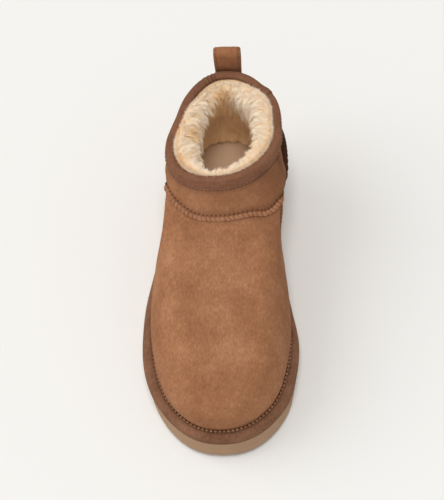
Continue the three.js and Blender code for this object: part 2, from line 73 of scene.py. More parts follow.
def hill(value: Array, centre: float, width: float) -> Array:
    """A soft hill of height 1 about a centre."""
    return np.exp(-(((np.asarray(value, float) - centre) / width) ** 2))


def unit(vectors: Array) -> Array:
    """Vectors scaled to length 1."""
    return vectors / np.maximum(np.linalg.norm(vectors, axis=-1, keepdims=True), 1e-9)


def around(way: Array, centre: float) -> Array:
    """Signed distance of a way round a ring from a centre, the short way."""
    return (np.asarray(way, float) - centre + 0.5) % 1.0 - 0.5


def wrapped(way: Array) -> Array:
    """A way brought into 0..1."""
    return np.asarray(way) - np.floor(way)


def ways_of(count: int) -> Array:
    """Ways evenly round a ring, from its front."""
    return np.arange(count) / count


def back_share(angle: Array) -> Array:
    """Share of the way from front to back at an angle along a ring."""
    return (1 - np.cos(angle)) / 2


def run_along(line: Array) -> Array:
    """Length run along a line of points, from 0 at its start."""
    return np.concatenate([[0], np.cumsum(np.linalg.norm(np.diff(line, axis=0), axis=1))])


def circle(across: Array, over: Array, count: int) -> Array:
    """Points of a unit circle at each place, spanned by two directions."""
    turns = (ways_of(count) * 2 * np.pi)[None, :, None]
    return across[:, None] * np.cos(turns) + over[:, None] * np.sin(turns)


class Noise:
    """Smooth lattice noise from a fixed seed."""

    SIZE = 32
    START = 7.31
    LAYER_SHIFT = 13.7

    def __init__(self, seed: int) -> None:
        """Draws the lattice from the seed."""
        self.lattice = np.random.default_rng(seed).uniform(-1, 1, (self.SIZE,) * 3)

    def at(self, points: Array, pitch: float) -> Array:
        """Reads the noise at points.

        Args:
            points: Positions, in millimetres.
            pitch: Size of one cell, in millimetres.

        Returns:
            Values from -1 to 1, one for each point.
        """
        p = points / pitch + self.START
        cell = np.floor(p).astype(int)
        f = p - cell
        f = f * f * (3 - 2 * f)
        total = np.zeros(p.shape[:-1])
        for corner in np.ndindex(2, 2, 2):
            i, j, k = ((cell[..., axis] + d) % self.SIZE for axis, d in enumerate(corner))
            weight = np.ones(p.shape[:-1])
            for axis, d in enumerate(corner):
                weight = weight * (f[..., axis] if d else 1 - f[..., axis])
            total += weight * self.lattice[i, j, k]
        return total

    def layers(self, points: Array, pitch: float, count: int) -> Array:
        """Sums finer and weaker layers of the noise.

        Args:
            points: Positions, in millimetres.
            pitch: Cell size of the broadest layer.
            count: How many layers.

        Returns:
            Their sum, one value for each point.
        """
        return sum(
            self.at(points + self.LAYER_SHIFT * n, pitch / 2**n) / 2**n for n in range(count)
        )


class Table:
    """Named columns along a key, read smoothly and without overshoot."""

    def __init__(self, key: Sequence[float], **columns: Sequence[float]) -> None:
        """Keeps the key and the columns, with a slope at each row.

        Args:
            key: Rising places of the rows.
            columns: Values at the rows, by name.
        """
        self.key = np.array(key, float)
        self.columns = {name: np.array(values, float) for name, values in columns.items()}
        self.slopes = {name: self._slopes(values) for name, values in self.columns.items()}

    def _slopes(self, values: Array) -> Array:
        """Harmonic slopes, flat where the values turn.

        Args:
            values: Values at the rows.

        Returns:
            A slope for each row.
        """
        steps = np.diff(values) / np.diff(self.key)
        slopes = np.concatenate([steps[:1], np.zeros(len(values) - 2), steps[-1:]])
        before, after = steps[:-1], steps[1:]
        same = before * after > 0
        slopes[1:-1][same] = (2 * before * after)[same] / (before + after)[same]
        return slopes

    def read(self, column: str, at: Array) -> Array:
        """Reads a column at places along the key.

        Args:
            column: The column's name.
            at: Places, held to the ends of the key.

        Returns:
            The values there.
        """
        place = np.clip(np.asarray(at, float), self.key[0], self.key[-1])
        i = np.clip(np.searchsorted(self.key, place, side="left") - 1, 0, len(self.key) - 2)
        span = self.key[i + 1] - self.key[i]
        t = (place - self.key[i]) / span
        values, slopes = self.columns[column], self.slopes[column]
        rise = values[i] * (2 * t**3 - 3 * t**2 + 1) + values[i + 1] * (3 * t**2 - 2 * t**3)
        bend = slopes[i] * (t**3 - 2 * t**2 + t) + slopes[i + 1] * (t**3 - t**2)
        return rise + span * bend


@dataclass
class Shape:
    """Points, faces and point values of a mesh on the last."""

    points: Array
    faces: list[Array]
    values: dict[str, Array] = field(default_factory=dict)

    @staticmethod
    def grid(
        points: Array, wrap_rows: bool = False, wrap_columns: bool = True, **values: Array
    ) -> "Shape":
        """Makes quads over rows of points.

        Args:
            points: Rows by columns of points.
            wrap_rows: Whether the last row joins the first.
            wrap_columns: Whether the last column joins the first.
            values: Point values, rows by columns.

        Returns:
            The shape.
        """
        rows, columns = points.shape[:2]
        index = np.arange(rows * columns).reshape(rows, columns)
        if wrap_rows:
            index = np.concatenate([index, index[:1]])
        if wrap_columns:
            index = np.concatenate([index, index[:, :1]], axis=1)
        quads = np.stack(
            [index[:-1, :-1], index[:-1, 1:], index[1:, 1:], index[1:, :-1]], axis=-1
        )
        flat = {name: np.broadcast_to(v, (rows, columns)).ravel() for name, v in values.items()}
        return Shape(points.reshape(-1, 3), [quads.reshape(-1, 4)], flat)

    @staticmethod
    def joined(shapes: Sequence["Shape"]) -> "Shape":
        """Puts several shapes into one.

        Args:
            shapes: The shapes, whose missing values count as 0.

        Returns:
            The whole.
        """
        faces, start = [], 0
        for shape in shapes:
            faces += [block + start for block in shape.faces]
            start += len(shape.points)
        names = {name for shape in shapes for name in shape.values}
        values = {
            name: np.concatenate([s.values.get(name, np.zeros(len(s.points))) for s in shapes])
            for name in sorted(names)
        }
        return Shape(np.concatenate([s.points for s in shapes]), faces, values)

    def capped(self, count: int) -> "Shape":
        """Closes the first and last loop of an open tube of loops with count points.

        Args:
            count: Points in one loop.

        Returns:
            The closed shape.
        """
        rows = len(self.points) // count
        caps = []
        for row, flip in ((0, True), (rows - 1, False)):
            loop = np.arange(row * count, (row + 1) * count)
            centre = len(self.points) + len(caps)
            turned = np.roll(loop, -1)
            pair = (turned, loop) if flip else (loop, turned)
            caps.append((centre, np.stack([*pair, np.full(count, centre)], axis=-1)))
        middles = [self.points[:count].mean(0), self.points[-count:].mean(0)]
        values = {
            name: np.concatenate([v, [v[:count].mean(), v[-count:].mean()]])
            for name, v in self.values.items()
        }
        points = np.concatenate([self.points, middles])
        return Shape(points, self.faces + [face for _, face in caps], values)

    def welded(self, reach: float = 0.002) -> "Shape":
        """Merges points that lie together, and drops faces that shrink to a line.

        Args:
            reach: Cell size within which points are one, in millimetres.

        Returns:
            The merged shape.
        """
        cells = np.round(self.points / reach).astype(np.int64)
        _, first, inverse = np.unique(cells, axis=0, return_index=True, return_inverse=True)
        inverse = inverse.ravel()
        faces = []
        for block in self.faces:
            block = inverse[block]
            if block.shape[1] == 4:
                same = block == np.roll(block, -1, axis=1)
                faces.append(block[~same.any(1)])
                for corner in range(4):
                    thin = block[same[:, corner] & (same.sum(1) == 1)]
                    faces.append(np.delete(thin, corner, axis=1))
            else:
                faces.append(block)
        faces = [b[(np.diff(np.sort(b, axis=1)) > 0).all(1)] for b in faces]
        values = {name: v[first] for name, v in self.values.items()}
        return Shape(self.points[first], [b for b in faces if len(b)], values)

    def turned_out(self) -> "Shape":
        """Turns the faces of a closed shape outwards.

        Returns:
            The shape itself.
        """
        total = 0.0
        for block in self.faces:
            corners = self.points[block]
            for k in range(1, block.shape[1] - 1):
                a, b, c = corners[:, 0], corners[:, k], corners[:, k + 1]
                total += np.einsum("ij,ij->", a, np.cross(b, c))
        if total < 0:
            self.faces = [block[:, ::-1] for block in self.faces]
        return self


@dataclass(frozen=True)
class Last:
    """The form that the boot is made on, with the sizes of its source."""

    length: float = 268.0
    ball_width: float = 117.0
    front_height: float = 108.0
    back_height: float = 120.0
    shaft_width: float = 87.0
    sole_height: float = 18.0
    plateau_height: float = 6.0
    toe_spring: float = 5.0
    toe_flare: float = 2.6
    arch_lift: float = 2.5
    heel_bevel: float = 2.5
    gap: float = 0.3
    waist_trim: float = -2.7
    small_toe_fill: float = 2.3
    outer_waist_trim: float = -0.7
    toe_start: float = -0.26
    arch: tuple[float, float, float, float] = (-0.08, 0.05, 0.1, 0.2)
    bevel_start: float = 0.43
    plan: Table = Table(
        (0, 0.1, 0.2, 0.3, 0.4, 0.5, 0.6, 0.7, 0.8, 0.9, 1),
        inner=(0.62, 0.625, 0.582, 0.535, 0.475, 0.43, 0.41, 0.43, 0.49, 0.58, 0.63),
        outer=(0.59, 0.6, 0.582, 0.555, 0.525, 0.485, 0.455, 0.45, 0.49, 0.575, 0.62),
    )
    shaft: Table = Table(
        (0, 0.25, 0.5, 0.8, 1),
        half=(0.53, 0.5, 0.466, 0.43, 0.4),
        lean=(-0.06, 0.0, 0.045, 0.075, 0.058),
    )
    rings: Table = Table(
        (0, 0.08, 0.12, 0.2, 0.28, 0.36, 0.44, 0.53, 0.62, 0.71, 0.8, 0.9, 1),
        front=(
            -0.935, -0.935, -0.948, -0.94, -0.9, -0.82, -0.68,
            -0.48, -0.25, -0.033, 0.135, 0.238, 0.28,
        ),
        front_rise=(
            0, 0.085, 0.15, 0.28, 0.39, 0.475, 0.545, 0.613, 0.675, 0.733, 0.8, 0.89, 1,
        ),
        back=(
            0.94, 0.94, 0.952, 0.96, 0.962, 0.96, 0.957, 0.953, 0.948, 0.942, 0.936, 0.93, 0.924,
        ),
        back_rise=(0, 0.075, 0.12, 0.21, 0.29, 0.37, 0.45, 0.54, 0.63, 0.715, 0.8, 0.9, 1),
        foot=(
            0.875, 0.875, 0.895, 0.898, 0.885, 0.865, 0.845, 0.825, 0.81, 0.8, 0.8, 0.8, 0.8,
        ),
        inner=(1.1, 1.1, 1.12, 1.14, 1.15, 1.15, 1.14, 1.12, 1.09, 1.06, 1.03, 1, 0.985),
        outer=(1.18, 1.18, 1.19, 1.2, 1.2, 1.16, 1.13, 1.11, 1.09, 1.05, 1.02, 1, 0.985),
        shaft=(0, 0, 0.06, 0.2, 0.38, 0.55, 0.7, 0.83, 0.93, 1, 1, 1, 1),
        heel=(0, 0, 0.03, 0.08, 0.1, 0.14, 0.16, 0.15, 0.13, 0.09, 0.04, 0, 0),
    )
    seam: Table = Table(
        (0, 0.08, 0.13, 0.18, 0.25, 0.33, 0.36),
        level=(0.785, 0.785, 0.765, 0.715, 0.585, 0.435, 0.39),
    )

    @property
    def feather(self) -> float:
        """Height of the line where the upper stands on the sole."""
        return self.sole_height + self.plateau_height + self.gap

    def shift(self) -> Array:
        """How far the frame's origin lies from the last's.

        Returns:
            The frame's origin in the last's plan, in millimetres.
        """
        ways = ways_of(44)
        ring = self.sole_plan(ways, self.toe_flare_at(ways) - self.trim(ways))
        low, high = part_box("outsole")
        middle = (ring.min(0) + ring.max(0)) / 2
        return np.array([(low.x + high.x) / 2, (low.y + high.y) / 2]) / MM - middle

    @staticmethod
    def turn(way: Array) -> tuple[Array, Array]:
        """Angle along the ring and the side, +1 inner or -1 outer.

        Args:
            way: Round the ring, from 0 in front.

        Returns:
            The angle and the side.
        """
        turn = wrapped(way)
        inner = turn <= 0.5
        return 2 * np.pi * np.where(inner, turn, 1 - turn), np.where(inner, 1.0, -1.0)

    @staticmethod
    def roundness(angle: Array) -> Array:
        """Rounding of a ring's ends, blunt in front and rounder at the back."""
        bluntness = mix(0.88, 0.94, back_share(angle))
        return np.maximum(np.sin(angle), 1e-12) ** bluntness

    def sided(self, table: Table, side: Array, at: Array) -> Array:
        """Reads the inner or outer column by the side."""
        return np.where(side > 0, table.read("inner", at), table.read("outer", at))

    def foot_plan(self, way: Array, front: Array, back: Array, share: Array) -> Array:
        """Plan of the foot between two ends, its width a share of the sole's.

        Args:
            way: Round the ring, from 0 in front.
            front: Y of the front end.
            back: Y of the back end.
            share: Share of the sole's width.

        Returns:
            Points in plan.
        """
        angle, side = self.turn(way)
        y = mix(front, back, back_share(angle))
        half = self.sided(self.plan, side, y / self.length + 0.5) * self.ball_width * share
        return np.stack([side * half * self.roundness(angle), y], axis=-1)

    def sole_plan(self, way: Array, outwards: Array) -> Array:
        """Plan of the sole, moved out along its own normal.

        Args:
            way: Round the ring, from 0 in front.
            outwards: How far out, in millimetres.

        Returns:
            Points in plan.
        """
        half, step = self.length / 2, 0.002
        here, before, after = (
            self.foot_plan(np.asarray(way) + d, -half, half, 1.0) for d in (0, -step, step)
        )
        along = unit(after - before)
        normal = np.stack([along[..., 1], -along[..., 0]], axis=-1)
        return here + normal * (np.asarray(outwards) + self.trim(wrapped(way)))[..., None]

    def trim(self, way: Array) -> Array:
        """How far the sole's outline stands out from the plan: fuller at the small toe.

        Args:
            way: Round the ring, from 0 in front.

        Returns:
            Millimetres outwards.
        """
        inner = self.waist_trim * ease(0.17, 0.24, way) * ease(0.43, 0.36, way)
        toe = self.small_toe_fill * hill(around(way, 0.85), 0, 0.05)
        return inner + toe + self.outer_waist_trim * hill(around(way, 0.735), 0, 0.025)

    def toe_flare_at(self, way: Array) -> Array:
        """How far the foot of the sole's wall stands out past its top."""
        return self.toe_flare * (1 - ease(0.03, 0.15, np.abs(around(way, 0))))

    def spring(self, y: Array) -> Array:
        """Lift of the sole's top at the toe.

        Args:
            y: Places along the sole.

        Returns:
            Millimetres upwards.
        """
        over = 0.5 + self.toe_start
        share = np.maximum(0, (self.toe_start * self.length - y) / (over * self.length))
        return self.toe_spring * share**2

    def floor_lift(self, y: Array) -> Array:
        """Lift of the underside: toe spring, arch and heel bevel.

        Args:
            y: Places along the sole.

        Returns:
            Millimetres upwards.
        """
        share = y / self.length
        rising = ease(*self.arch[:2], share)
        falling = 1 - ease(*self.arch[2:], share)
        bevel = np.maximum(0, (share - self.bevel_start) / (0.5 - self.bevel_start))
        return self.spring(y) + self.arch_lift * rising * falling + self.heel_bevel * bevel**2

    def face(self, level: Array, way: Array) -> Array:
        """The upper's outer face.

        Args:
            level: From 0 at the feather line to 1 at the collar.
            way: Round the ring: 0 front, 0.25 inner side, 0.5 back, 0.75 outer side.

        Returns:
            The points.
        """
        level, way = np.broadcast_arrays(np.asarray(level, float), np.asarray(way, float))
        row = {name: self.rings.read(name, level) for name in self.rings.columns}
        angle, side = self.turn(way)
        turn, along = angle / (2 * np.pi), back_share(angle)
        half = self.length / 2
        foot = self.foot_plan(way, row["front"] * half, row["back"] * half, row["foot"])
        girth = self.shaft.read("half", along) * self.shaft_width
        ankle = side * np.where(side > 0, row["inner"], row["outer"]) * girth
        ankle = ankle * self.roundness(angle)
        lean = ease(0.3, 1, level) * self.shaft.read("lean", along) * self.shaft_width
        swell = np.where(side > 0, ease(0.58, 0.84, along), 0.6 * ease(0.6, 0.84, along))
        inner_slim = 1.4 * hill(turn, 0.388, 0.038) + hill(turn, 0.265, 0.035)
        outer_slim = 2.6 * hill(turn, 0.272, 0.052)
        slim = np.where(side > 0, inner_slim, outer_slim) * ease(0.5, 0.85, level)
        x = mix(foot[..., 0], ankle, row["shaft"]) * (1 + row["heel"] * swell) + lean - side * slim
        front = row["front_rise"] * (self.front_height - self.feather)
        back = row["back_rise"] * (self.back_height - self.feather)
        y = foot[..., 1]
        z = self.feather + mix(front, back, along) + self.spring(y) * (1 - ease(0, 0.6, level))
        return np.stack([x, y, z], axis=-1)

    def normal(self, level: Array, way: Array) -> Array:
        """Outward normal of the face, level near the feather line and at the collar.

        Args:
            level: From 0 at the feather line to 1 at the collar.
            way: Round the ring, from 0 in front.

        Returns:
            Unit vectors.
        """
        level = np.asarray(level, float)
        way, rise, step = np.asarray(way), 0.01, 0.004
        low, high = np.clip(level - rise, 0, 1), np.clip(level + rise, 0, 1)
        up = self.face(high, way) - self.face(low, way)
        across = self.face(level, way + step) - self.face(level, way - step)
        normal = unit(np.cross(across, up))
        normal[..., 2] *= ease(0.02, 0.2, level) * (1 - ease(0.86, 1, level))
        return unit(normal)

    def off(self, level: Array, way: Array, distance: Array) -> Array:
        """A point off the upper's outer face."""
        return self.face(level, way) + self.normal(level, way) * np.asarray(distance)[..., None]

    def off_collar(self, drop: Array, way: Array, distance: Array) -> Array:
        """A point off the face, measured down from the collar's edge.

        Args:
            drop: How far down from the edge, or above it where below 0.
            way: Round the ring, from 0 in front.
            distance: How far out from the face.

        Returns:
            The points.
        """
        drop = np.asarray(drop, float)
        level = 1 - np.maximum(drop, 0) / (self.front_height - self.feather)
        point = self.off(level, way, distance)
        point[..., 2] += np.maximum(-drop, 0)
        return point

    def seam_level(self, way: Array) -> Array:
        """Level of the instep seam, past its ends level with them.

        Args:
            way: Round the ring, from 0 in front.

        Returns:
            The levels.
        """
        turn = around(way, 0)
        swing = 0.042 * hill(turn, -0.212, 0.09) - 0.034 * hill(turn, 0.14, 0.06)
        return self.seam.read("level", np.abs(turn)) + swing


class Side(Enum):
    """The quarters that the wool is grown in."""

    FRONT = 0.0
    INNER = 0.25
    BACK = 0.5
    OUTER = 0.75


@dataclass(frozen=True)
class Suede:
    """A suede: its colours and the size of its marks."""

    base: Colour
    light: Colour
    dark: Colour
    # Colour of the painted shade in folds, gaps and recesses.
    deep: Colour
    mottle: float = 1.0
    nap: float = 1.0
    sheen: float = 0.1


@dataclass(frozen=True)
class Wool:
    """Sheep's wool: colours from its roots to its tips, and a faint painted glow that stands in
    for the light that soaks through.
    """

    root: Colour
    honey: Colour
    tip: Colour
    sheen: float = 0.25
    # Strength and colour of the painted glow.
    painted_glow: float = 0.0
    through: Colour = (1.0, 0.85, 0.62)


@dataclass(frozen=True)
class Thread:
    """Sewing thread: its colour and the colour where it is soiled."""

    fresh: Colour
    soiled: Colour


@dataclass(frozen=True)
class Foam:
    """Moulded sole foam: its colours."""

    base: Colour
    light: Colour
    dark: Colour


CHESTNUT = Suede(
    (0.362, 0.159, 0.075), (0.485, 0.238, 0.124), (0.25, 0.103, 0.046), (0.15, 0.062, 0.03)
)
BAND_SUEDE = Suede(
    (0.225, 0.108, 0.06), (0.3, 0.145, 0.083), (0.13, 0.056, 0.031), (0.075, 0.032, 0.018), nap=0.8
)
BINDING_SUEDE = Suede(
    (0.215, 0.095, 0.052),
    (0.29, 0.137, 0.078),
    (0.135, 0.058, 0.032),
    (0.07, 0.03, 0.017),
    mottle=0.8,
    nap=0.8,
)
SEAM_SUEDE = Suede(
    (0.36, 0.163, 0.086), (0.47, 0.23, 0.13), (0.24, 0.1, 0.05), (0.1, 0.04, 0.019), nap=0.7
)
COUNTER_SUEDE = Suede(
    (0.36, 0.156, 0.071), (0.47, 0.22, 0.108), (0.25, 0.1, 0.045), (0.045, 0.018, 0.01)
)
LOOP_SUEDE = Suede(
    (0.37, 0.16, 0.075),
    (0.46, 0.212, 0.106),
    (0.23, 0.092, 0.042),
    (0.13, 0.052, 0.024),
    mottle=0.7,
)
INSOLE_CLOTH = Suede(
    (0.6, 0.42, 0.285),
    (0.68, 0.48, 0.34),
    (0.54, 0.36, 0.24),
    (0.3, 0.19, 0.11),
    mottle=0.5,
    nap=0.5,
)
SOLE_FOAM = Foam((0.39, 0.235, 0.135), (0.46, 0.29, 0.17), (0.28, 0.16, 0.09))
FLEECE = Wool((0.5, 0.26, 0.09), (0.93, 0.64, 0.32), (1.0, 0.94, 0.84), sheen=0.25, painted_glow=0.04)
PALE_THREAD = Thread((0.36, 0.185, 0.103), (0.25, 0.12, 0.066))
GREY_THREAD = Thread((0.29, 0.17, 0.115), (0.17, 0.085, 0.05))
LOOP_THREAD = Thread((0.42, 0.22, 0.13), (0.2, 0.09, 0.05))
# Painted shadow of the pinholes.
PINHOLE_SHADOW = (0.1, 0.042, 0.02)
PAPER = (0.885, 0.877, 0.85)


class Graph:
    """A small helper that lays out the nodes of a material or a group."""

    def __init__(self, tree: bpy.types.NodeTree) -> None:
        """Keeps the tree."""
        self.tree = tree

    def add(self, kind: str, **settings: object) -> bpy.types.Node:
        """Adds a node.

        Args:
            kind: The node's type name.
            settings: Attributes, or input sockets by name with spaces as underscores.

        Returns:
            The node.
        """
        node = self.tree.nodes.new(kind)
        for name, value in settings.items():
            if hasattr(node, name):
                setattr(node, name, value)
            else:
                self.feed(node.inputs[name.replace("_", " ")], value)
        return node

    def feed(self, socket: bpy.types.NodeSocket, value: object) -> None:
        """Links a socket to an output, or sets its value.

        Args:
            socket: The input socket.
            value: An output socket, a colour or a number.
        """
        if isinstance(value, bpy.types.NodeSocket):
            self.tree.links.new(value, socket)
        elif isinstance(value, tuple) and socket.type == "RGBA":
            socket.default_value = (*value[:3], 1.0)
        else:
            socket.default_value = value

    def maths(self, operation: str, a: object, b: object) -> object:
        """Adds a Math node and returns its output.

        Args:
            operation: Its operation.
            a: First value or output.
            b: Second value or output.

        Returns:
            Its output socket.
        """
        node = self.add("ShaderNodeMath", operation=operation)
        self.feed(node.inputs[0], a)
        self.feed(node.inputs[1], b)
        return node.outputs[0]

    def blend(self, share: object, a: object, b: object) -> object:
        """Adds a colour Mix node and returns its output.

        Args:
            share: Share of the second colour.
            a: First colour.
            b: Second colour.

        Returns:
            Its output socket.
        """
        node = self.add("ShaderNodeMix", data_type="RGBA")
        self.feed(node.inputs[0], share)
        self.feed(node.inputs[6], a)
        self.feed(node.inputs[7], b)
        return node.outputs[2]

    def span(self, value: object, low: float, high: float) -> object:
        """Maps a span of a value to 0..1, clamped.

        Args:
            value: The value.
            low: Where it gives 0.
            high: Where it gives 1.

        Returns:
            Its output socket.
        """
        node = self.add("ShaderNodeMapRange")
        for index, entry in enumerate((value, low, high)):
            self.feed(node.inputs[index], entry)
        return node.outputs[0]

    def noise(self, place: object, scale: float, detail: float = 2.0) -> object:
        """Adds a Noise Texture and returns its value."""
        node = self.add("ShaderNodeTexNoise", Vector=place, Scale=scale, Detail=detail)
        return node.outputs[0]

    def times(self, a: object, b: object) -> object:
        """Adds a Math node that multiplies, and returns its output."""
        return self.maths("MULTIPLY", a, b)

    def plus(self, a: object, b: object) -> object:
        """Adds a Math node that adds, and returns its output."""
        return self.maths("ADD", a, b)

    def attribute(self, name: str) -> object:
        """Adds an Attribute node for a point value and returns its output."""
        return self.add("ShaderNodeAttribute", attribute_name=name).outputs["Fac"]

    def place(self, stretch: Sequence[float] = (1, 1, 1)) -> object:
        """Object coordinates, stretched along the axes.

        Args:
            stretch: Factor on each axis.

        Returns:
            Its output socket.
        """
        coordinates = self.add("ShaderNodeTexCoord").outputs["Object"]
        node = self.add("ShaderNodeMapping")
        self.feed(node.inputs["Vector"], coordinates)
        node.inputs["Scale"].default_value = tuple(stretch)
        return node.outputs[0]


class Groups:
    """The shader node groups that several materials share, built once."""

    def __init__(self) -> None:
        """Builds each group."""
        self.nap = self.build(
            "suede_nap",
            dict.fromkeys(("Base", "Light", "Dark", "Deep"), "C")
            | dict.fromkeys(("Mottle", "Nap", "Crease"), "F"),
            {"Colour": "C", "Height": "F", "Roughness": "F"},
            self.fill_nap,
        )
        self.wool = self.build(
            "wool_tone",
            {"Root": "C", "Honey": "C", "Tip": "C", "Reach": "F", "Tone": "F"},
            {"Colour": "C", "Height": "F"},
            self.fill_wool,
        )
        self.twist = self.build(
            "thread_twist",
            {"Fresh": "C", "Soiled": "C"},
            {"Colour": "C", "Height": "F"},
            self.fill_twist,
        )

    @staticmethod
    def build(
        name: str,
        inputs: dict[str, str],
        outputs: dict[str, str],
        fill: Callable[[Graph, dict, dict], None],
    ) -> bpy.types.NodeTree:
        """Makes a group with its sockets and fills it.

        Args:
            name: The group's name.
            inputs: Input names, with C for a colour and F for a number.
            outputs: Output names, the same way.
            fill: Lays out the nodes between them.

        Returns:
            The group.
        """
        tree = bpy.data.node_groups.new(name, "ShaderNodeTree")
        kinds = {"C": "NodeSocketColor", "F": "NodeSocketFloat"}
        for names, direction in ((inputs, "INPUT"), (outputs, "OUTPUT")):
            for label, kind in names.items():
                tree.interface.new_socket(label, in_out=direction, socket_type=kinds[kind])
        start, end = tree.nodes.new("NodeGroupInput"), tree.nodes.new("NodeGroupOutput")
        fill(Graph(tree), start.outputs, end.inputs)
        return tree

    @staticmethod
    def fill_nap(g: Graph, given: dict, out: dict) -> None:
        """Nap of suede: broad mottle, brushed strokes and fine fibre, with painted shade mixed in.

        Args:
            g: The group's graph.
            given: The group's inputs.
            out: The group's outputs.
        """
        place = g.place()
        broad = g.span(g.noise(place, 42.0, 3.0), 0.3, 0.7)
        patch = g.span(g.noise(place, 210.0, 3.0), 0.3, 0.7)
        stroke = g.span(g.noise(g.place((1.0, 0.45, 0.7)), 850.0, 3.0), 0.3, 0.7)
        fibre = g.noise(place, 2200.0, 2.0)
        body = g.plus(g.times(broad, 0.42), g.times(patch, 0.2))
        body = g.plus(body, g.times(stroke, 0.38))
        body = g.times(g.maths("SUBTRACT", body, 0.5), given["Mottle"])
        light = g.span(body, 0.0, 0.42)
        dark = g.span(g.times(body, -1.0), 0.0, 0.42)
        tone = g.blend(light, given["Base"], given["Light"])
        tone = g.blend(dark, tone, given["Dark"])
        speck = g.times(g.span(fibre, 0.52, 0.75), 0.35)
        tone = g.blend(speck, tone, given["Light"])
        fleck = g.times(g.span(fibre, 0.46, 0.3), 0.4)
        tone = g.blend(fleck, tone, given["Dark"])
        # Painted shade: the mesh's value blends the colour towards the deep shade colour.
        g.feed(out["Colour"], g.blend(given["Crease"], tone, given["Deep"]))
        fine = g.times(fibre, given["Nap"])
        g.feed(out["Height"], g.plus(fine, g.times(stroke, 0.5)))
        g.feed(out["Roughness"], g.plus(g.times(patch, 0.08), 0.86))

    @staticmethod
    def fill_wool(g: Graph, given: dict, out: dict) -> None:
        """Wool from golden roots to cream tips, each lock with a tone of its own.

        Args:
            g: The group's graph.
            given: The group's inputs.
            out: The group's outputs.
        """
        strands = g.noise(g.place((1.0, 1.0, 0.25)), 1500.0, 2.0)
        low = g.span(given["Reach"], 0.0, 0.55)
        high = g.span(given["Reach"], 0.35, 1.0)
        tone = g.blend(low, given["Root"], given["Honey"])
        tone = g.blend(high, tone, given["Tip"])
        warm = g.times(g.span(given["Tone"], 0.0, 1.0), 0.75)
        tone = g.blend(warm, tone, given["Honey"])
        shade = g.times(g.span(strands, 0.55, 0.3), 0.2)
        g.feed(out["Colour"], g.blend(shade, tone, given["Honey"]))
        g.feed(out["Height"], strands)

    @staticmethod
    def fill_twist(g: Graph, given: dict, out: dict) -> None:
        """Thread with fine fibres, soiled in places.

        Args:
            g: The group's graph.
            given: The group's inputs.
            out: The group's outputs.
        """
        fibre = g.noise(g.place(), 3500.0, 2.0)
        soil = g.span(g.noise(g.place(), 120.0, 2.0), 0.4, 0.65)
        g.feed(out["Colour"], g.blend(soil, given["Fresh"], given["Soiled"]))
        g.feed(out["Height"], fibre)


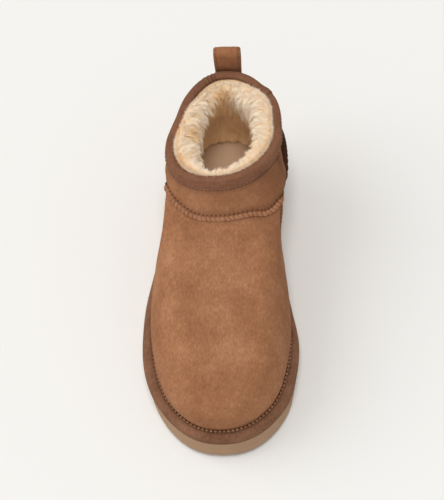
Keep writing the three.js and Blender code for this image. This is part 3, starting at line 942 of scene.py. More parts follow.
class Finishes:
    """Makes the materials from the finishes and the shared groups."""

    NAP_DEPTH = 0.00022
    STRAND_DEPTH = 0.0004
    FIBRE_DEPTH = 0.0001
    PORE_DEPTH = 0.00008

    def __init__(self) -> None:
        """Builds the shared groups."""
        self.groups = Groups()

    @staticmethod
    def start(name: str, **settings: object) -> tuple[bpy.types.Material, Graph, bpy.types.Node]:
        """Makes a material with a Principled shader.

        Args:
            name: The material's name.
            settings: Values for the shader's own sockets.

        Returns:
            The material, its graph and the shader.
        """
        material = bpy.data.materials.new(name)
        material.use_nodes = True
        graph = Graph(material.node_tree)
        shader = material.node_tree.nodes["Principled BSDF"]
        for label, value in settings.items():
            graph.feed(shader.inputs[label.replace("_", " ")], value)
        return material, graph, shader

    @staticmethod
    def raise_up(g: Graph, shader: bpy.types.Node, height: object, depth: float) -> None:
        """Feeds a height through a Bump node to the shader's Normal."""
        bump = g.add("ShaderNodeBump", Strength=1.0, Distance=depth, Height=height)
        g.feed(shader.inputs["Normal"], bump.outputs[0])

    def suede(self, name: str, suede: Suede) -> bpy.types.Material:
        """A suede's material; its painted shade is read from the mesh.

        Args:
            name: The material's name.
            suede: Its colours and marks.

        Returns:
            The material.
        """
        material, g, shader = self.start(
            name,
            Sheen_Weight=suede.sheen,
            Sheen_Roughness=0.55,
            Sheen_Tint=suede.light,
            Specular_IOR_Level=0.12,
        )
        node = g.add(
            "ShaderNodeGroup",
            node_tree=self.groups.nap,
            Base=suede.base,
            Light=suede.light,
            Dark=suede.dark,
            Deep=suede.deep,
            Mottle=suede.mottle,
            Nap=suede.nap,
            Crease=g.attribute("crease"),
        )
        g.feed(shader.inputs["Base Color"], node.outputs["Colour"])
        g.feed(shader.inputs["Roughness"], node.outputs["Roughness"])
        self.raise_up(g, shader, node.outputs["Height"], self.NAP_DEPTH)
        return material

    def wool(self, name: str, wool: Wool, raised: bool) -> bpy.types.Material:
        """The wool's material; reach and tone are read from the mesh.

        Args:
            name: The material's name.
            wool: Its colours.
            raised: Whether fine strands are raised on it, for a face without wisps.

        Returns:
            The material.
        """
        material, g, shader = self.start(
            name,
            Sheen_Weight=wool.sheen,
            Sheen_Roughness=0.5,
            Sheen_Tint=wool.tip,
            # Painted light: a faint glow lifts the wool's shade.
            Emission_Color=wool.through,
            Emission_Strength=wool.painted_glow,
            Roughness=0.85,
            Specular_IOR_Level=0.15,
        )
        node = g.add(
            "ShaderNodeGroup",
            node_tree=self.groups.wool,
            Root=wool.root,
            Honey=wool.honey,
            Tip=wool.tip,
            Reach=g.attribute("reach"),
            Tone=g.attribute("tone"),
        )
        g.feed(shader.inputs["Base Color"], node.outputs["Colour"])
        if raised:
            self.raise_up(g, shader, node.outputs["Height"], self.STRAND_DEPTH)
        return material

    def thread(self, name: str, thread: Thread) -> bpy.types.Material:
        """A thread's material.

        Args:
            name: The material's name.
            thread: Its colours.

        Returns:
            The material.
        """
        material, g, shader = self.start(name, Roughness=0.7, Specular_IOR_Level=0.25)
        node = g.add(
            "ShaderNodeGroup",
            node_tree=self.groups.twist,
            Fresh=thread.fresh,
            Soiled=thread.soiled,
        )
        g.feed(shader.inputs["Base Color"], node.outputs["Colour"])
        self.raise_up(g, shader, node.outputs["Height"], self.FIBRE_DEPTH)
        return material

    def foam(self, name: str, foam: Foam) -> bpy.types.Material:
        """The sole foam's material: fine pores, and painted shade low down, at the wall's step and
        in the channels.

        Args:
            name: The material's name.
            foam: Its colours.

        Returns:
            The material.
        """
        material, g, shader = self.start(name, Roughness=0.62, Specular_IOR_Level=0.3)
        place = g.place()
        cloud = g.span(g.noise(place, 90.0, 3.0), 0.35, 0.65)
        pores = g.noise(place, 1800.0, 2.0)
        tone = g.blend(g.times(cloud, 0.35), foam.base, foam.light)
        tone = g.blend(g.times(g.span(pores, 0.45, 0.3), 0.4), tone, foam.dark)
        # Painted shade read from the mesh.
        tone = g.blend(g.attribute("crease"), tone, foam.dark)
        g.feed(shader.inputs["Base Color"], tone)
        self.raise_up(g, shader, pores, self.PORE_DEPTH)
        return material

    def plain(self, name: str, colour: Colour, roughness: float) -> bpy.types.Material:
        """A matt material with a faint grain, for the floor and the pinholes.

        Args:
            name: The material's name.
            colour: Its colour.
            roughness: Its roughness.

        Returns:
            The material.
        """
        material, g, shader = self.start(name, Roughness=roughness, Specular_IOR_Level=0.05)
        grain = g.times(g.noise(g.place(), 12.0, 2.0), 0.03)
        shade = tuple(0.96 * c for c in colour)
        g.feed(shader.inputs["Base Color"], g.blend(grain, colour, shade))
        return material


class Bench:
    """Writes shapes as objects of the frame and keeps what each piece needs."""

    def __init__(self, last: Last, finishes: Finishes) -> None:
        """Keeps the last, the finishes and the way from the last to the frame.

        Args:
            last: The last that the boot is made on.
            finishes: Makes the materials.
        """
        self.last = last
        self.finishes = finishes
        self.move = np.append(last.shift(), 0.0)
        self.triangles = 0

    def write(
        self, name: str, shape: Shape, material: bpy.types.Material, smooth: bool
    ) -> bpy.types.Object:
        """Writes a shape as a mesh object.

        Args:
            name: The object's name.
            shape: Points, faces and values, in millimetres on the last.
            material: Its material.
            smooth: Whether its faces are shaded smooth.

        Returns:
            The object, linked to the scene.
        """
        mesh = bpy.data.meshes.new(name)
        faces = [block for block in shape.faces if len(block)]
        sizes = np.concatenate([np.full(len(b), b.shape[1]) for b in faces])
        corners = np.concatenate([b.ravel() for b in faces])
        mesh.vertices.add(len(shape.points))
        mesh.loops.add(len(corners))
        mesh.polygons.add(len(sizes))
        points = ((shape.points + self.move) * MM).astype(np.float32)
        mesh.vertices.foreach_set("co", points.ravel())
        mesh.loops.foreach_set("vertex_index", corners.astype(np.int32))
        starts = np.concatenate([[0], np.cumsum(sizes)[:-1]])
        mesh.polygons.foreach_set("loop_start", starts.astype(np.int32))
        mesh.polygons.foreach_set("use_smooth", np.full(len(sizes), smooth))
        for label, values in shape.values.items():
            layer = mesh.attributes.new(label, "FLOAT", "POINT")
            layer.data.foreach_set("value", np.clip(values, 0, 1).astype(np.float32))
        mesh.update(calc_edges=True)
        mesh.validate()
        mesh.materials.append(material)
        made = bpy.data.objects.new(name, mesh)
        bpy.context.scene.collection.objects.link(made)
        self.triangles += int((sizes - 2).sum())
        LOG.info("%s: %d triangles", name, int((sizes - 2).sum()))
        return made

    def piece(
        self,
        name: str,
        shape: Shape,
        material: bpy.types.Material,
        slot: str,
        *nodes: str,
        smooth: bool = True,
    ) -> bpy.types.Object:
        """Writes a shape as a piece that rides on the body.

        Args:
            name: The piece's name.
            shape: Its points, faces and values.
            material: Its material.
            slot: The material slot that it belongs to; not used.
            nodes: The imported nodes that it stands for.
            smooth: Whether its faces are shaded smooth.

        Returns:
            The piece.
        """
        made = self.write(name, shape, material, smooth)
        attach(made, BODY)
        if nodes:
            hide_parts(*nodes)
        return made


def capsules(centres: Array, along: Array, up: Array, length: float, radius: float) -> Shape:
    """Makes plump stitches, each bowed over its middle.

    Args:
        centres: Middle of each stitch.
        along: Its direction.
        up: The direction that its middle rises to.
        length: Its length.
        radius: Half its thickness.

    Returns:
        The joined shape.
    """
    along, up = unit(along), unit(up)
    side = unit(np.cross(along, up))
    sides, bow = 6, 0.35
    stations = np.array([-1, -0.8, -0.35, 0.35, 0.8, 1.0])
    plump = np.array([0.15, 0.75, 1.0, 1.0, 0.75, 0.15])
    spine = (
        centres[:, None]
        + along[:, None] * (stations * length / 2)[None, :, None]
        + up[:, None] * ((1 - stations**2) * bow * radius)[None, :, None]
    )
    ring = circle(side, up, sides)
    points = spine[:, :, None] + ring[:, None] * (radius * plump)[None, :, None, None]
    return Shape.joined([Shape.grid(stitch).capped(sides) for stitch in points])


@dataclass
class SoleUnit:
    """The tan sole: its stepped wall, plateau and tread channels."""

    bench: Bench
    groove_depth: float = 2.4
    groove_width: float = 4.0
    groove_pitch: float = 16.0
    groove_slope: float = 0.8
    grooves: int = 7
    end_fade: float = 14.0
    toe_tuck: float = 2.2
    columns: int = 42
    rows: int = 190
    profile: Table = Table(
        (0, 1, 2, 3, 4, 5, 6, 7),
        out=(-3, -0.8, 0, 0.0, -0.2, -0.75, -1.1, -2.2),
        up=(0, 1.4, 4.5, 7.0, 8.6, 10.6, 16.6, 18.0),
    )

    def wave(self, x: Array) -> Array:
        """How far a channel swings fore and aft across the sole."""
        return 0.16 * self.groove_pitch * np.cos(4 * np.pi * x / self.bench.last.ball_width)

    def channel(self, x: Array, y: Array) -> Array:
        """The depth of a channel at a place, as a share from 0 to 1.

        Args:
            x: Places across the sole.
            y: Places along the sole.

        Returns:
            The shares.
        """
        t = y - self.wave(x)
        index = np.clip(np.round(t / self.groove_pitch), -self.grooves, self.grooves)
        away = np.abs(t - index * self.groove_pitch)
        return np.clip((self.groove_width / 2 - away) / self.groove_slope, 0, 1)

    def stations(self) -> Array:
        """Rows along the sole, close at its ends and on the channels' edges.

        Returns:
            Places along the sole, rising.
        """
        half, brim = self.bench.last.length / 2, self.groove_width / 2
        floor = brim - self.groove_slope
        even = -half * np.cos(np.linspace(0, np.pi, self.rows))
        middles = np.arange(-self.grooves, self.grooves + 1) * self.groove_pitch
        edges = (middles[:, None] + np.array([-brim, -floor, 0.0, floor, brim])).ravel()
        rest = [y for y in even[1:-1] if np.min(np.abs(edges - y)) > 0.6]
        return np.sort(np.array([*rest, *edges[np.abs(edges) < half - 6]]))

    def ways(self, rows: Array) -> Array:
        """Ways round the outline whose points lie on the rows, both sides.

        Args:
            rows: Places along the sole, rising.

        Returns:
            The ways, from the toe round to the toe.
        """
        last, half = self.bench.last, self.bench.last.length / 2
        found = []
        for side in (1, -1):
            y = rows.copy()
            for _ in range(4):
                way = np.arccos(np.clip(-y / half, -1, 1)) / (2 * np.pi)
                point = last.foot_plan(side * way, -half, half, 1.0)
                fade = ease(half, half - self.end_fade, np.abs(rows))
                y = np.clip(rows + self.wave(point[:, 0]) * fade, -half + 0.3, half - 0.3)
            found.append(way)
        return np.concatenate([[0], found[0], [0.5], 1 - found[1][::-1]])

    def build(self) -> Shape:
        """Builds the wall, the top and the grooved underside.

        Returns:
            The closed shape.
        """
        last = self.bench.last
        ways = self.ways(self.stations())
        height = last.sole_height
        from_toe = ease(0.07, 0.17, np.abs(around(ways, 0)))
        rings, crease = [], []
        for t in (*np.linspace(0, 2, 7), 2.5, 3, 3.5, 4, 4.3, 4.6, 5, 5.5, 6, 6.3, 6.6, 7):
            out, up = (float(self.profile.read(column, t)) for column in ("out", "up"))
            share = up / height
            tuck = -self.toe_tuck * from_toe * ease(1.0, 0.85, share)
            xy = last.sole_plan(ways, out + tuck + last.toe_flare_at(ways) * (1 - share))
            z = up + mix(last.floor_lift(xy[:, 1]), last.spring(xy[:, 1]), share)
            roof = last.floor_lift(xy[:, 1]) + self.groove_depth
            z = np.where(self.channel(xy[:, 0], xy[:, 1]) > 0.5, np.maximum(z, roof), z)
            rings.append(np.column_stack([xy, z]))
            # Painted shade at the wall's step and along its foot.
            crease.append(0.12 * hill(t, 4.7, 0.5) + 0.25 * ease(1.2, 0, t))
        for rise in (0.0, last.plateau_height):
            foot = last.face(0, ways)
            foot[:, 2] = height + rise + last.spring(foot[:, 1])
            rings.append(foot)
            crease.append(0.0)
        rings = np.array(rings)
        wall = Shape.grid(rings, crease=np.array(crease)[:, None])
        under = self.ladder(rings[0], True)
        top = self.ladder(rings[-1], False)
        return Shape.joined([wall, under, top]).welded().turned_out()

    def ladder(self, ring: Array, grooved: bool) -> Shape:
        """Spans a ring from side to side, with the channels cut into it.

        Args:
            ring: The ring's points, from the toe round.
            grooved: Whether the channels are cut.

        Returns:
            The open sheet.
        """
        count = len(ring)
        half = count // 2
        inner = ring[: half + 1]
        outer = ring[(-np.arange(half + 1)) % count]
        share = np.linspace(0, 1, self.columns if grooved else 3)[None, :, None]
        points = mix(outer[:, None], inner[:, None], share)
        if grooved:
            last = self.bench.last
            x, bow = points[..., 0], self.wave(points[..., 0])
            half_length = last.length / 2
            fade = ease(half_length, half_length - self.end_fade, np.abs(points[..., 1]))
            ends = mix(bow[:, :1], bow[:, -1:], share[..., 0])
            y = points[..., 1] + (bow - ends) * fade
            lift = last.floor_lift(y)
            inside = np.minimum(share[..., 0], 1 - share[..., 0]) > 1e-6
            z = lift + self.groove_depth * self.channel(x, y)
            points = np.stack([x, np.where(inside, y, points[..., 1]), z], axis=-1)
            points[:, 0], points[:, -1] = outer, inner
            # Painted shade in the channels.
            return Shape.grid(points, wrap_columns=False, crease=0.5 * self.channel(x, y))
        return Shape.grid(points, wrap_columns=False)

    def dress(self) -> bpy.types.Object:
        """Writes the sole with its foam."""
        foam = self.bench.finishes.foam("sole_foam_tan", SOLE_FOAM)
        return self.bench.piece("sole_unit", self.build(), foam, "sole_foam", "outsole")


@dataclass
class SoleBand:
    """The suede band rolled round the sole, with its stitched groove."""

    bench: Bench
    height: float = 9.5
    count: int = 520
    stitches: int = 192
    stitch_length: float = 2.5
    stitch_radius: float = 1.0
    stitch_place: tuple[float, float] = (0.075, 0.97)
    section: Table = Table(
        np.arange(13),
        out=(0, 0, 0.015, 0.07, 0.15, 0.24, 0.4, 0.6, 0.8, 0.93, 1.0, 0.99, 0.955),
        up=(0, 0.7, 0.88, 0.91, 0.905, 0.96, 1.0, 0.965, 0.85, 0.68, 0.44, 0.2, 0),
    )

    def point(self, out: Array, up: Array, way: Array) -> Array:
        """A point of the band: share out from the feather line, share of its height.

        Args:
            out: Share of the reach to the sole's edge.
            up: Share of the band's height.
            way: Round the ring, from 0 in front.

        Returns:
            The points.
        """
        last = self.bench.last
        near = last.face(0, way)
        edge = last.sole_plan(way, -0.6)
        away = edge - near[..., :2]
        reach = np.linalg.norm(away, axis=-1)
        step = mix(last.gap, reach, out)[..., None] * away / reach[..., None]
        xy = near[..., :2] + step
        z = last.sole_height + last.gap + up * self.height + last.spring(xy[..., 1])
        return np.concatenate([xy, z[..., None]], axis=-1)

    def build(self) -> Shape:
        """Builds the roll, grooved where it is stitched, with painted shade in the groove and
        underneath, and darker along the back join.

        Returns:
            The closed shape.
        """
        ways = ways_of(self.count)
        steps = np.concatenate([[0, 1], np.linspace(1.5, 12, 40)])
        out = self.section.read("out", steps)[:, None] * np.ones(self.count)
        up = self.section.read("up", steps)[:, None] * np.ones(self.count)
        points = self.point(out, up, np.broadcast_to(ways, out.shape))
        swell = 0.3 * Noise(11).layers(points, 14, 2) * ease(0.1, 0.4, out) * ease(0.0, 0.3, up)
        pucker = 0.1 * np.cos(2 * np.pi * ways * self.stitches) * hill(steps, 4.6, 1.2)[:, None]
        points[..., 2] += (swell + pucker) * 0.8
        join = hill(around(ways, 0.5) * 600, 0, 1.2)
        points[..., 2] -= 0.5 * join * ease(0.1, 0.3, up)
        # Painted shade in the stitched groove and on the underside; darker along the back join.
        crease = 0.06 * hill(steps, 3.2, 1.0)[:, None] + 0.8 * join * np.ones_like(out)
        crease = crease + 0.5 * ease(10.6, 12, steps)[:, None]
        return Shape.grid(points, wrap_rows=True, crease=crease).turned_out()

    def sew(self) -> Shape:
        """Builds the row of short stitches in the groove, evenly far apart.

        Returns:
            The joined stitches.
        """
        fine = np.linspace(0, 1, 3001)
        line = self.point(np.full(3001, 0.1), np.full(3001, 0.88), fine)
        run = run_along(line)
        ways = np.interp(ways_of(self.stitches) * run[-1], run, fine)
        out, up = (np.full(len(ways), share) for share in self.stitch_place)
        centres = self.point(out, up, ways)
        along = self.point(out, up, ways + 0.001) - self.point(out, up, ways - 0.001)
        upward = np.broadcast_to(np.array([0.0, 0.0, 1.0]), centres.shape)
        return capsules(centres, along, upward, self.stitch_length, self.stitch_radius)

    def dress(self) -> bpy.types.Object:
        """Writes the band and its stitches.

        Returns:
            The roll.
        """
        bench, finishes = self.bench, self.bench.finishes
        suede = finishes.suede("band_suede_dark", BAND_SUEDE)
        piece = bench.piece("band_roll", self.build(), suede, "band_suede", "sole_band")
        thread = finishes.thread("band_thread_tan", PALE_THREAD)
        bench.piece("band_stitches", self.sew(), thread, "band_suede")
        return piece


@dataclass(frozen=True)
class Swell:
    """A soft swelling of a face, or a hollow where its height is below 0."""

    height: float
    way: float
    breadth: float
    level: float
    tallness: float

    def at(self, level: Array, way: Array) -> Array:
        """Its height at places on the face."""
        over = hill(around(way, self.way), 0, self.breadth)
        return self.height * over * hill(level, self.level, self.tallness)


@dataclass(frozen=True)
class Fold:
    """A slanting fold that runs down from the collar."""

    height: float
    way: float
    slant: float
    breadth: float
    foot: tuple[float, float]
    head: float

    def at(self, level: Array, way: Array) -> Array:
        """Its height at places on the face."""
        over = hill(around(way, self.way) * 300 + (level - 0.9) * self.slant, 0, self.breadth)
        return self.height * over * ease(*self.foot, level) * ease(1.0, self.head, level)


@dataclass
class Upper:
    """The suede upper: vamp, instep panel and quarters in one soft wall."""

    bench: Bench
    wall: float = 2.4
    rows: int = 118
    rows_low: int = 24
    rows_inside: int = 14
    count: int = 370
    collar_fold: Fold = Fold(-1.7, 0.2, 40, 4.5, (0.72, 0.82), 0.93)
    collar_tuck: Fold = Fold(-0.8, 0.8, 30, 5.0, (0.7, 0.8), 0.92)
    swells: tuple[Swell, ...] = (
        Swell(-2.2, 0.24, 0.07, 0.5, 0.13),
        Swell(-1.5, 0.765, 0.08, 0.44, 0.2),
        Swell(0.9, 0.22, 0.06, 0.19, 0.09),
    )

    def relief(self, level: Array, way: Array) -> tuple[Array, Array]:
        """Soft folds and troughs, and painted shade in them and over the instep panel.

        Args:
            level: Levels of the wall.
            way: Ways round it.

        Returns:
            Height off the face in millimetres, and the painted shade value.
        """
        last = self.bench.last
        turn = around(way, 0)
        above = (level - last.seam_level(way)) * (last.front_height - last.feather)
        front = ease(0.345, 0.3, np.abs(turn))
        bulge = 2.3 * hill(above, 8.0, 6.0) * front
        pinch = -0.9 * hill(above, 0, 2.6) * front
        below = -0.5 * hill(above, -7, 4.5) * front
        full = 1.4 * hill(around(way, 0.245), 0, 0.035) * hill(above, 7.0, 5.0)
        fold, tuck = self.collar_fold.at(level, way), self.collar_tuck.at(level, way)
        slump = 0.9 * np.sin(level * 21 + 2.0 * np.sin(way * 11)) * hill(level, 0.62, 0.1)
        slump = slump * ease(0.3, 0.42, np.abs(turn)) * 0.5
        foot = -0.25 * ease(0.05, 0.0, level)
        face = last.face(level, way)
        waves = Noise(5).layers(face, 34, 2) * 0.75 + Noise(6).layers(face, 9, 2) * 0.12
        waves = waves * ease(0.0, 0.12, level) * ease(1.0, 0.9, level)
        swells = sum(swell.at(level, way) for swell in self.swells)
        height = bulge + pinch + below + full + fold + tuck + slump + foot + waves + swells
        # Painted shade: under the panel's bulge over the seam, across the panel, on the inner side
        # of the vamp, at the foot, in the collar fold and below the binding.
        dark = 0.6 * hill(above, 1.0, 1.8) * front + 0.15 * hill(above, -4.5, 2.2) * front
        panel = ease(1.0, 7.0, above) * front
        dark = dark + panel * (0.19 + 0.22 * ease(-0.12, 0.14, turn))
        dark = dark + 0.26 * ease(0.06, 0.2, turn) * ease(0.32, 0.24, turn)
        dark = dark + 0.12 * ease(0.03, 0.0, level) - 0.13 * fold
        dark = dark + 0.2 * ease(0.885, 0.915, level)
        return height, dark

    def build(self) -> Shape:
        """Builds the outer face and, close inside it, the wall's other face.

        Returns:
            The closed shape.
        """
        last = self.bench.last
        ways = ways_of(self.count)
        low = np.linspace(0.03, 0.1, self.rows_low)
        levels = np.sort(np.concatenate([np.linspace(0, 1, self.rows - self.rows_low), low]))
        level, way = np.meshgrid(levels, ways, indexing="ij")
        height, dark = self.relief(level, way)
        outer = last.off(level, way, height)
        level, way = np.meshgrid(np.linspace(1, 0, self.rows_inside), ways, indexing="ij")
        height, _ = self.relief(level, way)
        inner = last.off(level, way, np.minimum(height, 0) - self.wall)
        points = np.concatenate([outer, inner])
        crease = np.concatenate([dark, np.zeros(inner.shape[:2])])
        return Shape.grid(points, wrap_rows=True, crease=crease).turned_out()

    def dress(self) -> bpy.types.Object:
        """Writes the upper with its chestnut suede."""
        suede = self.bench.finishes.suede("upper_suede_chestnut", CHESTNUT)
        return self.bench.piece("upper_wall", self.build(), suede, "upper_suede", "upper")


@dataclass
class Binding:
    """The suede tape folded over the collar, with its lap, gathers and stitches."""

    bench: Bench
    thickness: float = 1.7
    depth: float = 5.4
    count: int = 560
    lap_way: float = 0.352
    gathers: tuple[tuple[float, float], ...] = (
        (0.545, 0.8),
        (0.558, 1.0),
        (0.572, 0.75),
        (0.59, 0.4),
    )
    stitch_pitch: float = 2.9
    stitch_length: float = 2.0
    stitch_radius: float = 0.36
    stitch_inset: float = 0.9

    def relief(self, way: Array) -> tuple[Array, Array]:
        """Height of the lap joint and the gathers, and the painted shade at the lap's edge and in
        the gathers.

        Args:
            way: Round the ring, from 0 in front.

        Returns:
            The height in millimetres and the painted shade value.
        """
        past = around(way, self.lap_way)
        lap = ease(-0.0022, 0.0, past) * ease(0.03, 0.008, past)
        edge = hill((past + 0.0015) * 400, 0, 0.45)
        gathers = sum(
            size * hill(around(way, centre) * 330, 0, 0.9) for centre, size in self.gathers
        )
        return 0.9 * (lap - gathers), 0.8 * edge + 0.7 * gathers

    def build(self) -> Shape:
        """Builds the folded tape.

        Returns:
            The closed shape.
        """
        last = self.bench.last
        out = last.gap + self.thickness
        wall, depth = Upper.wall, self.depth
        section = Table(
            np.arange(14),
            drop=(
                -0.3, -0.3, depth, depth, 0, -0.72 * out, -out, -0.72 * out, 0,
                0.35 * depth, 0.8 * depth, depth - 0.2, depth + 0.15, depth,
            ),
            off=(
                0.3, -wall - 0.3, -wall - 0.3, -wall - out, -wall - out, -wall - 0.55 * out,
                -0.5 * wall, 0.5 * out, out, out + 0.2, out + 0.1, out - 0.1, out - 0.8, 0.3,
            ),
        )
        steps = np.concatenate([[0, 1, 2, 3], np.linspace(3.3, 13, 34)])
        step, way = np.meshgrid(steps, ways_of(self.count), indexing="ij")
        height, dark = self.relief(way)
        outside = ease(3.4, 4.4, step)
        off = section.read("off", step)
        drop = section.read("drop", step)
        sign = np.clip((off + 0.5 * wall) / (0.5 * wall + out), -1, 1)
        points = last.off_collar(drop, way, off + height * sign * outside)
        lumps = 0.22 * Noise(21).layers(points, 7, 2) + 0.3 * Noise(22).at(points, 26)
        points[..., 2] += (lumps + np.maximum(height, 0) * (1 - np.abs(sign))) * outside
        # Painted shade on the tape's inner leg and under its outer leg's lower edge.
        shade = 0.5 * ease(11.0, 12.2, step) + 0.4 * ease(4.4, 3.4, step)
        return Shape.grid(points, wrap_rows=True, crease=dark + shade).turned_out()

    def sew(self) -> Shape:
        """Builds the stitches along the tape's outer edge.

        Returns:
            The joined stitches.
        """
        last = self.bench.last
        fine = np.linspace(0, 1, 2001)
        drop = self.depth - self.stitch_inset
        run = run_along(last.off_collar(drop, fine, 2.0))
        ways = np.interp(np.arange(0, run[-1] - 2, self.stitch_pitch), run, fine)
        before, centres, after = (
            last.off_collar(drop, ways + step, last.gap + self.thickness + 0.15)
            for step in (-0.001, 0, 0.001)
        )
        out = last.normal(0.9, ways)
        return capsules(centres, after - before, out, self.stitch_length, self.stitch_radius)

    def dress(self) -> bpy.types.Object:
        """Writes the binding and its stitches.

        Returns:
            The tape.
        """
        bench, finishes = self.bench, self.bench.finishes
        suede = finishes.suede("binding_suede_brown", BINDING_SUEDE)
        piece = bench.piece("collar_tape", self.build(), suede, "binding_suede", "collar_binding")
        thread = finishes.thread("binding_thread_grey", GREY_THREAD)
        bench.piece("collar_stitches", self.sew(), thread, "binding_suede")
        return piece


@dataclass
class InstepSeam:
    """The raised whip-stitched seam over the instep, and its row of pinholes."""

    bench: Bench
    width: float = 4.6
    pitch: float = 3.4
    end: float = 0.328
    base_depth: float = 1.4
    base_half: float = 1.2
    face_depth: float = 0.4
    steps_per_bead: int = 14
    arc: int = 17
    hole_end: float = 0.3
    hole_place: float = 3.1
    hole_length: float = 1.3
    hole_radius: float = 0.42

    def line(self, way: Array) -> tuple[Array, Array, Array, Array]:
        """Point, along, normal and across of the seam at ways round the front.

        Args:
            way: Round the ring, from 0 in front.

        Returns:
            The points and the three directions.
        """
        last = self.bench.last
        before, here, after = (
            last.face(last.seam_level(way + step), way + step) for step in (-0.003, 0, 0.003)
        )
        along, normal = unit(after - before), last.normal(last.seam_level(way), way)
        return here, along, normal, unit(np.cross(normal, along))

    def run(self, end: float) -> tuple[Array, Array]:
        """Fine ways along the seam, longer on the outer side, and the length run at each."""
        fine = np.linspace(-end - 0.03, end - 0.012, 3001)
        return fine, run_along(self.line(fine)[0])

    def build(self) -> Shape:
        """Builds the ridge, beaded by its stitches.

        Returns:
            The closed shape.
        """
        fine, run = self.run(self.end)
        beads = int(run[-1] / self.pitch)
        length = np.linspace(0, run[-1], beads * self.steps_per_bead + 1)
        ways = np.interp(length, run, fine)
        here, _, normal, across = self.line(ways)
        turns = np.linspace(0, np.pi, self.arc)
        side, lift = -np.cos(turns), np.sin(turns) ** 0.8
        phase = length[:, None] / run[-1] * beads + 0.16 * side[None]
        wobble = 1 + 0.22 * np.sin(np.floor(phase) * 7.7) + 0.14 * np.sin(np.floor(phase) * 3.1)
        bead = np.abs(np.sin(np.pi * phase)) ** 0.55
        taper = ease(0, 5, length) * ease(run[-1], run[-1] - 5, length)
        taper = taper * (1 - 0.55 * ease(0.15, 0.24, np.abs(ways)))
        height = (1.0 + 1.15 * bead * wobble) * lift[None] * mix(0.5, 1, taper)[:, None]
        high = np.concatenate(
            [height - self.face_depth, np.full((len(ways), 3), -self.base_depth)], axis=1
        )
        base = np.broadcast_to(self.base_half * np.array([1, 0, -1]), (len(ways), 3))
        wide = np.concatenate([side[None] * self.width * (0.34 + 0.1 * bead), base], axis=1)
        points = (
            here[:, None] + normal[:, None] * high[..., None] + across[:, None] * wide[..., None]
        )
        # Painted shade in the notches between the beads, and on the ridge's foot.
        dark = ease(0.5, 0.1, bead * lift[None] ** 0.5)
        crease = np.concatenate([0.64 * dark, np.full((len(ways), 3), 0.8)], axis=1)
        return Shape.grid(points, crease=crease).capped(self.arc + 3).turned_out()

    def pinholes(self) -> Shape:
        """Builds the pinholes above the ridge, one between two beads, as small dark capsules
        painted as the holes' shadow.

        Returns:
            The joined holes.
        """
        fine, run = self.run(self.hole_end)
        ways = np.interp(np.arange(self.pitch, run[-1], self.pitch), run, fine)
        here, _, normal, across = self.line(ways)
        upward = np.where(across[:, 2:] > 0, across, -across)
        centres = here + upward * self.hole_place + normal * 0.5
        return capsules(centres, upward, normal, self.hole_length, self.hole_radius)

    def dress(self) -> bpy.types.Object:
        """Writes the seam and its pinholes.

        Returns:
            The ridge.
        """
        bench, finishes = self.bench, self.bench.finishes
        suede = finishes.suede("seam_suede_beaded", SEAM_SUEDE)
        piece = bench.piece("instep_ridge", self.build(), suede, "seam_suede", "instep_seam")
        dark = finishes.plain("pinhole_shadow", PINHOLE_SHADOW, 1.0)
        bench.piece("instep_pinholes", self.pinholes(), dark, "seam_suede")
        return piece


